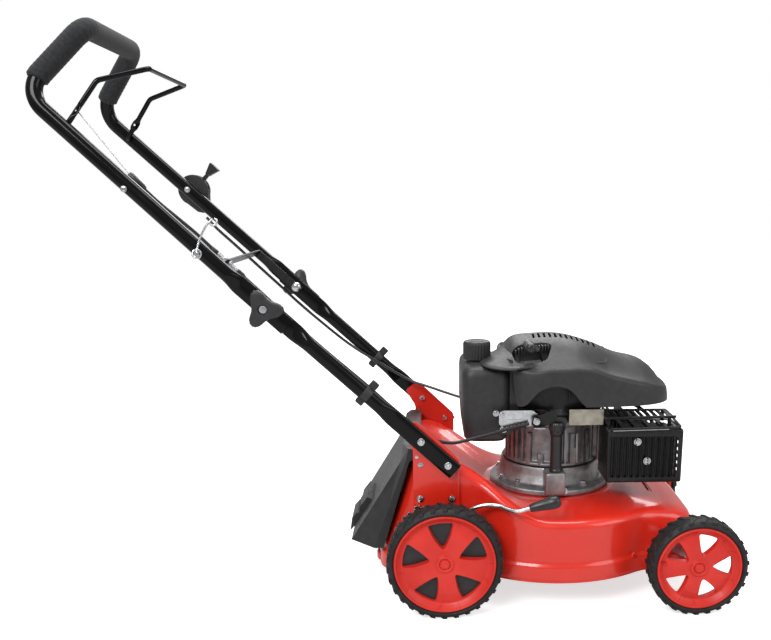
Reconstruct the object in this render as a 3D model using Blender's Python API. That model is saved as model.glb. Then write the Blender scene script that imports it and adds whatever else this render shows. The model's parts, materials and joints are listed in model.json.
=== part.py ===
"""A walk-behind petrol lawn mower with a steel deck, a vertical-shaft engine and a folding handle.

Lengths are metres. X points forward, Y to the mower's left, Z up. Every length along X is
measured from the rear axle; ORIGIN_SHIFT then puts the origin under the middle of the mower.
Left and right are those of someone walking behind the mower.
"""

from math import atan2, ceil, cos, hypot, pi, radians, sin

import bmesh
import bpy
from mathutils import Matrix, Vector

ORIGIN_SHIFT = 0.0549
GAP = 0.0003                      # air between two pieces that touch

# Running gear
REAR_RADIUS = 0.090
FRONT_RADIUS = 0.0777
WHEELBASE = 0.394
WHEEL_INNER_Y = 0.1855
WHEEL_OUTER_Y = 0.2255
SPINDLE_RADIUS = 0.005
CRANK_ARM = 0.030
CRANK_DROP = radians(30)          # the arms point forward and down by this much
REAR_AXLE = Vector((0, 0, REAR_RADIUS))
FRONT_AXLE = Vector((WHEELBASE, 0, FRONT_RADIUS))
ARM_OFFSET = Vector((-CRANK_ARM * cos(CRANK_DROP), 0, CRANK_ARM * sin(CRANK_DROP)))
REAR_PIVOT = REAR_AXLE + ARM_OFFSET
FRONT_PIVOT = FRONT_AXLE + ARM_OFFSET
LINK_Y = 0.120
LINK_ARM = 0.030

# Deck
ENGINE_X = 0.186                  # the vertical shaft
SHEET = 0.0025
PLATEAU_Z = 0.156
SHOULDER_Z = 0.148
TUNNEL_RISE = 0.087
DECK_BOTTOM_Z = 0.050
DECK_HALF_WIDTH = 0.150
CHAMBER_RADIUS = 0.200
BRACKET_Y = DECK_HALF_WIDTH + GAP

# Handle
TUBE_RADIUS = 0.011
TUBE_WALL = 0.0016
FOLD_PIVOT = Vector((-0.262, 0, 0.477))
LOWER_TUBE_Y = 0.158
UPPER_TUBE_Y = 0.1665
FLAT_HALF = 0.004
BAIL_PIVOT = Vector((-0.5365, 0, 0.7330))
BAIL_RADIUS = 0.0038
GRIP_RADIUS = 0.0155
THROTTLE_PIVOT = Vector((-0.4410, 0.182, 0.6480))
STRAP_WIDTH = 0.014

# Flap
FLAP_HINGE = Vector((-0.042, 0, 0.242))
FLAP_HALF_WIDTH = 0.134

# Engine
BLOCK_TOP_Z = 0.276
FILLER = Vector((0.184, -0.100, 0))
FUEL_CAP = Vector((0.058, -0.022, 0))
BRAKE_PIVOT = Vector((0.150, -0.1110, 0.2835))
STARTER_GRIP = Vector((0.138, -0.090, 0.405))
STARTER_PULL = Vector((-0.900, -0.060, 0.432)).normalized()
BLADE_Z = 0.060
BLADE_RADIUS = 0.185

SIDES = (("right", -1), ("left", 1))


# ---------------------------------------------------------------- building blocks


def clear_scene():
    for item in list(bpy.data.objects):
        bpy.data.objects.remove(item, do_unlink=True)


def material(name, colour, roughness, metallic=0.0):
    found = bpy.data.materials.get(name)
    if found:
        return found
    made = bpy.data.materials.new(name)
    made.use_nodes = True
    shader = made.node_tree.nodes["Principled BSDF"]
    shader.inputs["Base Color"].default_value = (*colour, 1.0)
    shader.inputs["Roughness"].default_value = roughness
    shader.inputs["Metallic"].default_value = metallic
    return made


def red_paint():
    return material("red_paint", (0.76, 0.025, 0.012), 0.28)


def red_plastic():
    return material("red_plastic", (0.72, 0.022, 0.014), 0.42)


def black_paint():
    return material("black_paint", (0.012, 0.012, 0.013), 0.25)


def black_plastic():
    return material("black_plastic", (0.030, 0.031, 0.033), 0.55)


def rubber():
    return material("tyre_rubber", (0.022, 0.022, 0.024), 0.78)


def foam():
    return material("grip_foam", (0.038, 0.040, 0.043), 0.88)


def zinc():
    return material("zinc_steel", (0.62, 0.63, 0.65), 0.32, 1.0)


def cast_alloy():
    return material("cast_alloy", (0.48, 0.48, 0.49), 0.48, 1.0)


def dark_steel():
    return material("dark_steel", (0.10, 0.10, 0.11), 0.45, 0.8)


def cable_jacket():
    return material("cable_jacket", (0.010, 0.010, 0.011), 0.45)


def finish(name, bm, look, origin=(0, 0, 0)):
    """Turn a bmesh into a named object whose origin is the given point."""
    bmesh.ops.recalc_face_normals(bm, faces=bm.faces)
    bmesh.ops.translate(bm, vec=-Vector(origin), verts=bm.verts)
    mesh = bpy.data.meshes.new(name)
    bm.to_mesh(mesh)
    bm.free()
    mesh.shade_smooth()
    mesh.set_sharp_from_angle(angle=radians(35))
    mesh.materials.append(look)
    made = bpy.data.objects.new(name, mesh)
    made.location = origin
    bpy.context.collection.objects.link(made)
    return made


def combine(base, tool, operation):
    """Join or cut base with tool, keep the result on base and remove the tool."""
    step = base.modifiers.new(operation.lower(), "BOOLEAN")
    step.object = tool
    step.operation = operation
    step.solver = "EXACT"
    tool.hide_render = True
    tool.display_type = "WIRE"
    graph = bpy.context.evaluated_depsgraph_get()
    result = bpy.data.meshes.new_from_object(base.evaluated_get(graph))
    base.modifiers.clear()
    base.data = result
    bpy.data.objects.remove(tool, do_unlink=True)
    tidy = bmesh.new()
    tidy.from_mesh(result)
    bmesh.ops.remove_doubles(tidy, verts=tidy.verts, dist=1e-6)
    bmesh.ops.dissolve_degenerate(tidy, dist=1e-6, edges=tidy.edges)
    tidy.to_mesh(result)
    tidy.free()
    result.shade_smooth()
    result.set_sharp_from_angle(angle=radians(35))
    return base


def joined(base, *tools):
    for tool in tools:
        combine(base, tool, "UNION")
    return base


def carved(base, *tools):
    for tool in tools:
        combine(base, tool, "DIFFERENCE")
    return base


def skin(bm, rings, closed_path=False, caps=True):
    """Skin quads between rings of equal length; cap the two ends with one face each."""
    loops = [[bm.verts.new(point) for point in ring] for ring in rings]
    pairs = list(zip(loops, loops[1:]))
    if closed_path:
        pairs.append((loops[-1], loops[0]))
    count = len(loops[0])
    for first, second in pairs:
        for i in range(count):
            j = (i + 1) % count
            bm.faces.new((first[i], first[j], second[j], second[i]))
    if caps and not closed_path:
        bm.faces.new(loops[0])
        bm.faces.new(reversed(loops[-1]))
    return loops


def box(low, high, bevel=0.0, segments=2):
    bm = bmesh.new()
    size = Vector(high) - Vector(low)
    middle = (Vector(high) + Vector(low)) / 2
    bmesh.ops.create_cube(bm, size=1.0, matrix=Matrix.Translation(middle) @ Matrix.Diagonal((*size, 1)))
    if bevel:
        bmesh.ops.bevel(bm, geom=bm.edges, offset=bevel, segments=segments, affect="EDGES", profile=0.5)
    return bm


def rotation_to(axis):
    return Vector((0, 0, 1)).rotation_difference(Vector(axis)).to_matrix()


def turned(profile, base=(0, 0, 0), axis=(0, 0, 1), segments=32):
    """Turn a closed outline of (radius, height) points about an axis through base.

    An outline whose first and last radius are 0 gives a solid; otherwise it gives a ring.
    """
    bm = bmesh.new()
    turn = rotation_to(axis)
    base = Vector(base)

    def place(radius, height, angle):
        return base + turn @ Vector((radius * cos(angle), radius * sin(angle), height))

    angles = [2 * pi * (i + 0.5) / segments for i in range(segments)]
    solid = profile[0][0] == 0
    if not solid:
        skin(bm, [[place(r, h, a) for r, h in profile] for a in angles], closed_path=True)
        return bm
    rings = [[place(r, h, a) for a in angles] for r, h in profile[1:-1]]
    loops = skin(bm, rings, caps=False)
    for (radius, height), loop in ((profile[0], loops[0]), (profile[-1], loops[-1])):
        tip = bm.verts.new(place(radius, height, 0))
        for i in range(segments):
            bm.faces.new((loop[i], loop[(i + 1) % segments], tip))
    return bm


def rod(start, end, radius, segments=16):
    start, end = Vector(start), Vector(end)
    length = (end - start).length
    outline = [(0, 0), (radius, 0), (radius, length), (0, length)]
    return turned(outline, start, end - start, segments)


def prism(outline, low, high, axis="Y"):
    """Extrude a 2-D outline along an axis: (x, z) points along Y, (x, y) along Z, (y, z) along X."""
    place = {
        "Y": lambda p, t: Vector((p[0], t, p[1])),
        "Z": lambda p, t: Vector((p[0], p[1], t)),
        "X": lambda p, t: Vector((t, p[0], p[1])),
    }[axis]
    bm = bmesh.new()
    skin(bm, [[place(p, low) for p in outline], [place(p, high) for p in outline]])
    return bm


def arc(centre, radius, start, end, steps):
    """Points on an arc in 2-D; angles in degrees."""
    turns = [radians(start + (end - start) * i / steps) for i in range(steps + 1)]
    return [(centre[0] + radius * cos(a), centre[1] + radius * sin(a)) for a in turns]


def filleted(corners, radii, steps=6):
    """A path through the corners, each inner corner rounded by its radius."""
    corners = [Vector(c) for c in corners]
    path = [corners[0]]
    for before, corner, after, radius in zip(corners, corners[1:], corners[2:], radii):
        into = (corner - before).normalized()
        out = (after - corner).normalized()
        bend = into.angle(out)
        reach = radius * abs(sin(bend / 2) / cos(bend / 2))
        normal = (out - into).normalized()
        centre = corner + normal * hypot(radius, reach)
        first = corner - into * reach - centre
        plane = into.cross(out).normalized()
        for i in range(steps + 1):
            path.append(centre + Matrix.Rotation(bend * i / steps, 3, plane) @ first)
    path.append(corners[-1])
    return path


def smooth_route(points, spacing):
    """A smooth curve through the points (centripetal Catmull-Rom), sampled about every spacing."""
    points = [Vector(p) for p in points]
    ends = [2 * points[0] - points[1], *points, 2 * points[-1] - points[-2]]
    route = []
    for p0, p1, p2, p3 in zip(ends, ends[1:], ends[2:], ends[3:]):
        t1 = (p1 - p0).length ** 0.5
        t2 = t1 + (p2 - p1).length ** 0.5
        t3 = t2 + (p3 - p2).length ** 0.5
        steps = max(1, ceil((p2 - p1).length / spacing))
        for i in range(steps):
            t = t1 + (t2 - t1) * i / steps
            a1 = p0.lerp(p1, t / t1)
            a2 = p1.lerp(p2, (t - t1) / (t2 - t1))
            a3 = p2.lerp(p3, (t - t2) / (t3 - t2))
            b1 = a1.lerp(a2, t / t2)
            b2 = a2.lerp(a3, (t - t1) / (t3 - t1))
            route.append(b1.lerp(b2, (t - t1) / (t2 - t1)))
    route.append(points[-1])
    return route


def frames(path, normal):
    """One (point, normal, binormal) for each point, turning as little as possible."""
    normal = Vector(normal)
    result = []
    for i, point in enumerate(path):
        tangent = (path[min(i + 1, len(path) - 1)] - path[max(i - 1, 0)]).normalized()
        normal = (normal - tangent * normal.dot(tangent)).normalized()
        result.append((point, normal.copy(), tangent.cross(normal)))
    return result


def swept(path, normal, section, sides=12):
    """Sweep an ellipse along a path; section(i) gives its half sizes along normal and binormal."""
    rings = []
    for i, (point, across, up) in enumerate(frames(path, normal)):
        wide, high = section(i)
        angles = [2 * pi * (k + 0.5) / sides for k in range(sides)]
        rings.append([point + across * wide * cos(a) + up * high * sin(a) for a in angles])
    bm = bmesh.new()
    skin(bm, rings)
    return bm


def round_tube(path, radius, sides=12, normal=(0.123, 1.0, 0.077)):
    return swept(path, normal, lambda i: (radius, radius), sides)


def hollow_swept(path, normal, section, wall, sides=8):
    """Like swept, with a bore that is open at both ends."""
    bm = bmesh.new()
    outer, inner = [], []
    for i, (point, across, up) in enumerate(frames(path, normal)):
        wide, high = section(i)
        angles = [2 * pi * (k + 0.5) / sides for k in range(sides)]
        outer.append([point + across * wide * cos(a) + up * high * sin(a) for a in angles])
        inner.append([
            point + across * (wide - wall) * cos(a) + up * (high - wall) * sin(a) for a in angles
        ])
    outside = skin(bm, outer, caps=False)
    inside = skin(bm, inner, caps=False)
    for k in range(sides):
        j = (k + 1) % sides
        bm.faces.new((outside[0][k], outside[0][j], inside[0][j], inside[0][k]))
        bm.faces.new((outside[-1][k], outside[-1][j], inside[-1][j], inside[-1][k]))
    return bm


def smoothstep(value):
    value = min(max(value, 0.0), 1.0)
    return value * value * (3 - 2 * value)


def mirrored(path):
    return [Vector((p.x, -p.y, p.z)) for p in reversed(path)]


# ---------------------------------------------------------------- deck


def oblong_radius(angle, front, rear, half_width, power):
    """Distance from the shaft to a rounded oblong, seen from above."""
    reach = front if cos(angle) > 0 else rear
    return ((abs(cos(angle)) / reach) ** power + (abs(sin(angle)) / half_width) ** power) ** (-1 / power)


def deck_radius(angle, front, rear, half_width, chamber):
    """Outline of the deck: the round blade chamber merged with a long straight-sided body."""
    body = oblong_radius(angle, front, rear, half_width, 9)
    return (body ** 30 + chamber ** 30) ** (1 / 30)


def deck_rings(angle):
    """The deck's outer surface at one angle, from the shaft hole out to the bottom edge."""
    top_radius = deck_radius(angle, 0.186, 0.226, 0.138, CHAMBER_RADIUS - 0.012)
    side_radius = deck_radius(angle, 0.238, 0.236, DECK_HALF_WIDTH, CHAMBER_RADIUS)
    low_radius = deck_radius(angle, 0.240, 0.288, DECK_HALF_WIDTH, CHAMBER_RADIUS)
    side = max(-1.0, min(1.0, 2 * sin(angle)))
    lift_start = 0.1475 - 0.0175 * side            # the tunnel climbs later on the left side
    rear_lift = smoothstep((lift_start - (ENGINE_X + top_radius * cos(angle))) / 0.17)
    shoulder = SHOULDER_Z + TUNNEL_RISE * rear_lift
    nose = smoothstep((cos(angle) - 0.62) / 0.3)
    side_top = shoulder - 0.010 - 0.046 * nose
    low = 0.080
    lip = 0.005
    points = [(0.030, PLATEAU_Z), (0.104, PLATEAU_Z), (0.113, PLATEAU_Z + 0.001)]
    points.append((top_radius, shoulder))
    middle = (top_radius + 2 * side_radius) / 3
    points.append((middle, shoulder - (0.3 - 0.06 * nose) * (shoulder - side_top)))
    for share in (0, 0.14, 0.86, 1):
        reach = side_radius + (low_radius - side_radius) * share
        points.append((reach, side_top + (low - side_top) * share))
    points.append((low_radius + lip, low - 0.006))
    points.append((low_radius + lip, DECK_BOTTOM_Z))
    return points


def build_deck():
    """Pressed steel shell: blade chamber, nose between the front wheels and rear discharge tunnel."""
    segments = 44
    window = radians(24)
    angles = [2 * pi * (i + 0.5) / segments for i in range(segments)]
    bm = bmesh.new()
    grid = []
    for angle in angles:
        ring = deck_rings(angle)
        grid.append([bm.verts.new((ENGINE_X + r * cos(angle), r * sin(angle), z)) for r, z in ring])
    for i in range(segments):
        j = (i + 1) % segments
        middle = angles[i] + pi / segments
        for k in range(len(grid[0]) - 1):
            if k == 6 and abs(middle - pi) < window:
                continue              # the discharge opening in the rear wall
            bm.faces.new((grid[i][k], grid[i][k + 1], grid[j][k + 1], grid[j][k]))
    deck = finish("deck", bm, red_paint())
    wall = deck.modifiers.new("sheet", "SOLIDIFY")
    wall.thickness = SHEET
    wall.offset = -1
    for pivot in (REAR_PIVOT, FRONT_PIVOT):
        across = Vector((0, 0.20, 0))
        carved(deck, finish("axle_hole", rod(pivot - across, pivot + across, 0.0047), red_paint()))
    return deck


def build_handle_bracket(name, side):
    """Folded steel plate that carries the lower handle tube and the flap's hinge rod."""
    outline = [
        (-0.048, 0.150), (0.024, 0.150), (0.024, 0.238), (-0.030, 0.289),
        (-0.045, 0.300), (-0.066, 0.284), (-0.048, 0.254),
    ]
    near, far = sorted((side * BRACKET_Y, side * (BRACKET_Y + SHEET)))
    plate = finish(name, prism(outline, near, far), red_paint())
    rib_near, rib_far = sorted((side * (BRACKET_Y + SHEET / 2), side * (BRACKET_Y + SHEET + 0.003)))
    rib = finish("rib", box((0.0205, rib_near, 0.152), (0.0240, rib_far, 0.212)), red_paint())
    joined(plate, rib)
    across = Vector((0, 0.02, 0))
    for x, z in ((-0.035, 0.2687), (0.0064, 0.230)):
        middle = Vector((x, side * BRACKET_Y, z))
        carved(plate, finish("hole", rod(middle - across, middle + across, 0.0033, 10), red_paint()))
    hinge = FLAP_HINGE + Vector((0, side * BRACKET_Y, 0))
    carved(plate, finish("hole", rod(hinge - across, hinge + across, 0.0033, 12), red_paint()))
    return plate


def build_height_quadrant():
    """Notched index plate for the height lever, centred on the rear crank pivot."""
    centre = (REAR_PIVOT.x, REAR_PIVOT.z)
    first, last, notches = 99, 171, 6
    outline = arc(centre, 0.013, last, 62, 6)
    outline += arc(centre, 0.056, 62, first - 6, 3)
    step = (last - first) / notches
    for k in range(notches):
        start = first + k * step
        outline += arc(centre, 0.056, start - step * 0.22, start + step * 0.22, 1)
        outline += arc(centre, 0.051, start + step * 0.32, start + step * 0.68, 1)
    outline += arc(centre, 0.056, last - 2, last, 1)
    outer = -(BRACKET_Y + SHEET + GAP)
    return finish("height_quadrant", prism(outline, outer - 0.003, outer), zinc())


# ---------------------------------------------------------------- handle


def tube_section(path, flat_spans, flat_width):
    """Half sizes along a tube that is pressed flat inside the given spans of length."""
    lengths = [0.0]
    for a, b in zip(path, path[1:]):
        lengths.append(lengths[-1] + (b - a).length)
    total = lengths[-1]

    def section(i):
        here = lengths[i]
        share = 0.0
        for start, end in flat_spans(total):
            inside = min(here - start, end - here)
            share = max(share, smoothstep(inside / 0.016 + 1))
        thin = TUBE_RADIUS + (FLAT_HALF - TUBE_RADIUS) * share
        wide = TUBE_RADIUS + (flat_width / 2 - TUBE_RADIUS) * share
        return thin, wide

    return section


def stations(corners, lengths):
    """Extra points on a straight run between two corners, at the given distances from the first."""
    start, end = Vector(corners[0]), Vector(corners[1])
    along = (end - start).normalized()
    return [start, *[start + along * d for d in lengths], end]


def build_lower_handle(name, side):
    """Lower handle tube, pressed flat at the bracket and at the fold pivot."""
    slope = Vector((0.2708, 0, -0.2485)).normalized()
    top = FOLD_PIVOT - slope * 0.030 + Vector((0, side * LOWER_TUBE_Y, 0))
    bottom = Vector((0.0175, side * LOWER_TUBE_Y, 0.2190))
    total = (bottom - top).length
    path = stations((top, bottom), [0.04, 0.086, 0.092, 0.097, 0.103, total - 0.145, total - 0.139,
                                    total - 0.134, total - 0.128, total - 0.05])
    section = tube_section(path, lambda length: ((-0.1, 0.086), (length - 0.128, length + 0.1)), 0.026)
    tube = finish(name, hollow_swept(path, (0, 1, 0), section, TUBE_WALL), black_paint())
    across = Vector((0, 0.03, 0))
    spots = [(FOLD_PIVOT.x, FOLD_PIVOT.z, 0.0043), (-0.035, 0.2687, 0.0033), (0.0064, 0.230, 0.0033)]
    for x, z, radius in spots:
        middle = Vector((x, side * LOWER_TUBE_Y, z))
        carved(tube, finish("hole", rod(middle - across, middle + across, radius, 12), black_paint()))
    return tube


def upper_handle_path():
    """Centre line of the folded-over upper handle, from its right end to its left end."""
    back = (BAIL_PIVOT - FOLD_PIVOT).normalized()
    end = FOLD_PIVOT - back * 0.042 + Vector((0, -UPPER_TUBE_Y, 0))
    fold = FOLD_PIVOT + Vector((0, -UPPER_TUBE_Y, 0))
    bend = Vector((-0.5840, -0.1500, 0.7775))
    corner = Vector((-0.5070, -0.1080, 0.8700))
    flat_end = fold + back * 0.052
    run_in = stations((end, flat_end), [0.042])
    run_out = stations((flat_end, flat_end.lerp(bend, 0.08)), [0.006, 0.012])[1:]
    right = filleted([run_out[-1], bend, corner, Vector((corner.x, 0, corner.z))], [0.038, 0.030], 4)
    right = run_in + run_out + right[1:-1]
    return right + mirrored(right)


def grip_path():
    """The part of the upper handle's centre line that the grip covers."""
    return [p for p in upper_handle_path() if p.z > 0.7945]


def build_upper_handle():
    path = upper_handle_path()
    section = tube_section(path, lambda length: ((-0.1, 0.096), (length - 0.096, length + 0.1)), 0.026)
    handle = finish("upper_handle", hollow_swept(path, (0, 1, 0), section, TUBE_WALL), black_paint(),
                    FOLD_PIVOT)
    across = Vector((0, 0.03, 0))
    for _, side in SIDES:
        middle = FOLD_PIVOT + Vector((0, side * UPPER_TUBE_Y, 0))
        carved(handle, finish("hole", rod(middle - across, middle + across, 0.0043, 12), black_paint()))
        inner = BAIL_PIVOT + Vector((0, side * 0.130, 0))
        outer = BAIL_PIVOT + Vector((0, side * 0.151, 0))
        carved(handle, finish("hole", rod(inner, outer, BAIL_RADIUS + 0.0005, 12), black_paint()))
    return handle


def build_grip_sleeve():
    """Foam sleeve slid over the top of the handle."""
    path = grip_path()
    radius = GRIP_RADIUS
    wall = radius - TUBE_RADIUS / cos(pi / 12) - GAP
    sleeve = hollow_swept(path, (0.3, 0.2, 1), lambda i: (radius, radius), wall, 12)
    return finish("grip_sleeve", sleeve, foam())


def build_fold_bolt(name, side):
    """Carriage bolt through both tubes; its domed head is on the inside."""
    head_y = LOWER_TUBE_Y - FLAT_HALF - (0.0036 if side > 0 else GAP)
    reach = UPPER_TUBE_Y + FLAT_HALF + 0.012 - head_y
    outline = [
        (0, -0.0045), (0.005, -0.0042), (0.0085, -0.0022), (0.0095, 0), (0.004, 0), (0.004, reach), (0, reach),
    ]
    base = FOLD_PIVOT + Vector((0, side * head_y, 0))
    return finish(name, turned(outline, base, (0, side, 0), 16), zinc(), base)


def build_star_knob(name, side):
    """Three-lobed clamping knob, threaded on the fold bolt."""
    rings = []
    samples = 24
    face_y = UPPER_TUBE_Y + FLAT_HALF + 0.0005
    centre = Vector((FOLD_PIVOT.x, 0, FOLD_PIVOT.z))
    for height, scale in ((0.0, 0.55), (0.004, 0.62), (0.006, 0.97), (0.015, 1.0), (0.018, 0.93)):
        ring = []
        for k in range(samples):
            angle = 2 * pi * k / samples
            lobe = (0.5 + 0.5 * cos(3 * angle)) ** 1.6
            radius = (0.0165 + 0.0135 * lobe) * scale
            if scale < 0.9:
                radius = 0.0165 * scale / 0.62 * 0.9
            turn = angle + 0.35
            ring.append(centre + Vector((radius * cos(turn), side * (face_y + height), radius * sin(turn))))
        rings.append(ring)
    bm = bmesh.new()
    skin(bm, rings)
    base = centre + Vector((0, side * (face_y - 0.001), 0))
    knob = finish(name, bm, black_plastic(), centre)
    bore = finish("bore", rod(base, base + Vector((0, side * 0.030, 0)), 0.0045, 12), black_plastic())
    return carved(knob, bore)


def build_bail():
    """Operator-presence bail, bent from round bar; its ends hook into the handle tubes."""
    inner_y = 0.1345
    knee = Vector((-0.4905, -inner_y + 0.010, 0.7965))
    corner = Vector((-0.4235, -0.098, 0.8160))
    hook = BAIL_PIVOT + Vector((0, -0.1465, 0))
    foot = BAIL_PIVOT + Vector((0, -inner_y, 0))
    half = filleted([hook, foot, knee, corner, Vector((corner.x, 0, corner.z))], [0.006, 0.015, 0.010], 4)[:-1]
    return finish("bail", round_tube(half + mirrored(half), BAIL_RADIUS, 8), black_paint(), BAIL_PIVOT)


def build_throttle_housing():
    """Teardrop case on the outside of the left tube, slotted for the throttle lever."""
    centre = (THROTTLE_PIVOT.x, THROTTLE_PIVOT.z)
    tail = (centre[0] + 0.016, centre[1] - 0.040)
    outline = arc(centre, 0.027, -15, 245, 20)
    outline += [(tail[0] - 0.010, tail[1] + 0.002), tail, (tail[0] + 0.009, tail[1] + 0.008)]
    case = finish("throttle_housing", prism(outline, 0.1722, 0.1925), black_plastic())
    pocket = rod((centre[0], 0.1775, centre[1]), (centre[0], 0.1865, centre[1]), 0.0215, 20)
    carved(case, finish("pocket", pocket, black_plastic()))
    slot = arc(centre, 0.060, 4, 88, 8) + arc(centre, 0.015, 88, 4, 2)
    carved(case, finish("slot", prism(slot, 0.1775, 0.1865), black_plastic()))
    return case


def build_throttle_lever():
    """Disc with a fan-shaped thumb knob."""
    centre = (THROTTLE_PIVOT.x, THROTTLE_PIVOT.z)
    aim = 46
    disc = finish("throttle_lever", rod((centre[0], 0.1785, centre[1]), (centre[0], 0.1855, centre[1]), 0.0205, 20),
                  black_plastic(), THROTTLE_PIVOT)
    stem = arc(centre, 0.016, aim - 16, aim + 16, 1) + arc(centre, 0.040, aim + 5, aim - 5, 1)
    knob = arc(centre, 0.0360, aim - 6, aim + 6, 1) + arc(centre, 0.058, aim + 9, aim - 9, 3)
    joined(disc, finish("stem", prism(stem, 0.1790, 0.1850), black_plastic()))
    return joined(disc, finish("knob", prism(knob, 0.1750, 0.1890), black_plastic()))


def build_rope_guide():
    """Bent wire on the right tube that parks the starter rope."""
    foot = Vector((-0.3530, -0.1765, 0.5565))
    up = Vector((0.52, 0, 0.854))
    side = Vector((-0.854, 0, 0.52))
    path = []
    for k in range(13):
        angle = radians(-60 - 25 * k)
        path.append(foot + up * 0.0060 * sin(angle) + side * 0.0060 * cos(angle) - Vector((0, 0.0004 * k, 0)))
    top = foot + up * 0.045
    path.append(top + side * 0.006)
    for k in range(8):
        angle = radians(20 - 28 * k)
        path.append(top + up * (0.008 + 0.0045 * sin(angle + pi / 2)) + side * 0.005 * cos(angle + pi / 2) * -1
                    - Vector((0, 0.004 + 0.0004 * k, 0)))
    path = smooth_route(path, 0.004)
    return finish("rope_guide", round_tube(path, 0.0014, 5, (0, 1, 0.1)), zinc())


def handle_direction():
    return (BAIL_PIVOT - FOLD_PIVOT).normalized()


def build_cable_strap():
    """Flat bar from the left fold bolt, bent across to hold the cable adjuster."""
    along = handle_direction()
    across = Vector((along.z, 0, -along.x))
    near_y, far_y, thick = -0.108, LOWER_TUBE_Y - FLAT_HALF - GAP, 0.003
    step_y = far_y - 0.005
    bend = 0.092
    outline = [(-0.010, far_y), (0.020, far_y), (0.032, step_y), (bend - 0.010, step_y), (bend, step_y - 0.010),
               (bend, near_y), (bend - thick, near_y), (bend - thick, step_y - 0.011),
               (bend - 0.011, step_y - thick), (0.031, step_y - thick), (0.019, far_y - thick),
               (-0.010, far_y - thick)]
    bm = bmesh.new()
    half = STRAP_WIDTH / 2
    place = [
        [FOLD_PIVOT + along * t + across * w + Vector((0, y, 0)) for t, y in outline] for w in (-half, half)
    ]
    skin(bm, place)
    strap = finish("cable_strap", bm, dark_steel())
    hole = FOLD_PIVOT + Vector((0, far_y, 0))
    reach = Vector((0, 0.02, 0))
    carved(strap, finish("hole", rod(hole - reach, hole + reach, 0.0043, 12), dark_steel()))
    barrel = adjuster_centre()
    hole = rod(barrel - along * 0.01, barrel + along * 0.01, 0.0046, 12)
    return carved(strap, finish("hole", hole, dark_steel()))


def adjuster_centre():
    """Where the brake cable's threaded barrel passes through the strap."""
    return FOLD_PIVOT + handle_direction() * 0.0905 + Vector((0, -0.098, 0))


BRAKE_ROUTE_TOP = [
    (-0.4490, -0.1400, 0.6650), (-0.4350, -0.1390, 0.6500), (-0.4150, -0.1360, 0.6290),
    (-0.3920, -0.1260, 0.6065), (-0.3720, -0.1120, 0.5855), (-0.3560, -0.1010, 0.5670),
]
BRAKE_ROUTE_LOW = [
    (-0.3050, -0.0980, 0.5170), (-0.2900, -0.1020, 0.5040), (-0.2700, -0.1140, 0.4880),
    (-0.2450, -0.1270, 0.4660), (-0.2150, -0.1360, 0.4400), (-0.1750, -0.1410, 0.4050),
    (-0.1190, -0.1425, 0.3560), (-0.0850, -0.1420, 0.3240), (-0.0550, -0.1400, 0.2970),
    (-0.0300, -0.1360, 0.2760), (-0.0100, -0.1310, 0.2620), (0.0150, -0.1260, 0.2570),
    (0.0400, -0.1200, 0.2600), (0.0700, -0.1140, 0.2660), (0.1000, -0.1110, 0.2740),
    (0.1200, -0.1100, 0.2790), (0.1380, -0.1100, 0.2830),
]
THROTTLE_ROUTE = [
    (-0.4180, 0.1650, 0.6000), (-0.4000, 0.1600, 0.5810), (-0.3700, 0.1590, 0.5530),
    (-0.3300, 0.1580, 0.5150), (-0.2900, 0.1580, 0.4770), (-0.2600, 0.1580, 0.4480),
    (-0.2250, 0.1570, 0.4170), (-0.1800, 0.1530, 0.3800), (-0.1500, 0.1450, 0.3600),
    (-0.1190, 0.1410, 0.3420), (-0.0900, 0.1390, 0.3240), (-0.0550, 0.1340, 0.3050),
    (-0.0200, 0.1230, 0.2950), (0.0200, 0.1080, 0.2840), (0.0600, 0.0960, 0.2740),
    (0.1000, 0.0930, 0.2680), (0.1500, 0.0960, 0.2640), (0.1950, 0.1000, 0.2620),
]


def build_brake_cable():
    """Jacketed cable from the bail's return spring cap, through its adjuster, to the engine brake."""
    barrel = adjuster_centre()
    along = handle_direction()
    points = [Vector(p) for p in BRAKE_ROUTE_TOP]
    points += [barrel + along * 0.018, barrel, barrel - along * 0.018]
    points += [Vector(p) for p in BRAKE_ROUTE_LOW]
    route = smooth_route(points, 0.030)

    def section(i):
        near = (route[i] - barrel).length
        size = 0.0040 if near < 0.024 else 0.0027
        return size, size

    return finish("brake_cable", swept(route, (0.1, 1, 0.1), section, 6), cable_jacket())


def build_brake_wire():
    """Bare wire between the bail and the brake cable."""
    start = Vector((-0.5215, -0.1235, 0.7540))
    end = Vector(BRAKE_ROUTE_TOP[0]) + Vector((-0.0018, 0, 0.0020))
    return finish("brake_wire", rod(start, end, 0.0008, 6), zinc())


def build_throttle_cable():
    route = smooth_route(THROTTLE_ROUTE, 0.030)
    return finish("throttle_cable", round_tube(route, 0.0025, 6), cable_jacket())


# ---------------------------------------------------------------- flap


def flap_hull(inset):
    """The flap's outer surface, or with an inset the hollow inside it, open towards the deck."""
    front = 0.02 if inset else 0.0
    side = FLAP_HALF_WIDTH - inset
    middle = side - 0.029
    top = 0.2500 - 7 * inset
    neck = 0.2290 - 5 * inset
    common = [
        (-0.0370 + front, top), (-0.0370 + front, top - 0.012 + 3 * inset), (-0.0540 + front, neck),
        (-0.1090 + front, 0.0830),
    ]
    edge = [(-0.1140, 0.0840 + inset), (-0.0600 + inset, neck + 0.0010), (-0.0560 + inset, top)]
    crease = [(-0.1520 + inset, 0.0875 + inset), (-0.0695 + inset, 0.2196), (-0.0640 + inset, top)]
    rings = []
    for y, tail in ((-side, edge), (-middle, crease), (middle, crease), (side, edge)):
        rings.append([Vector((x, y, z)) for x, z in common + tail])
    bm = bmesh.new()
    skin(bm, rings)
    return bm


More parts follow.
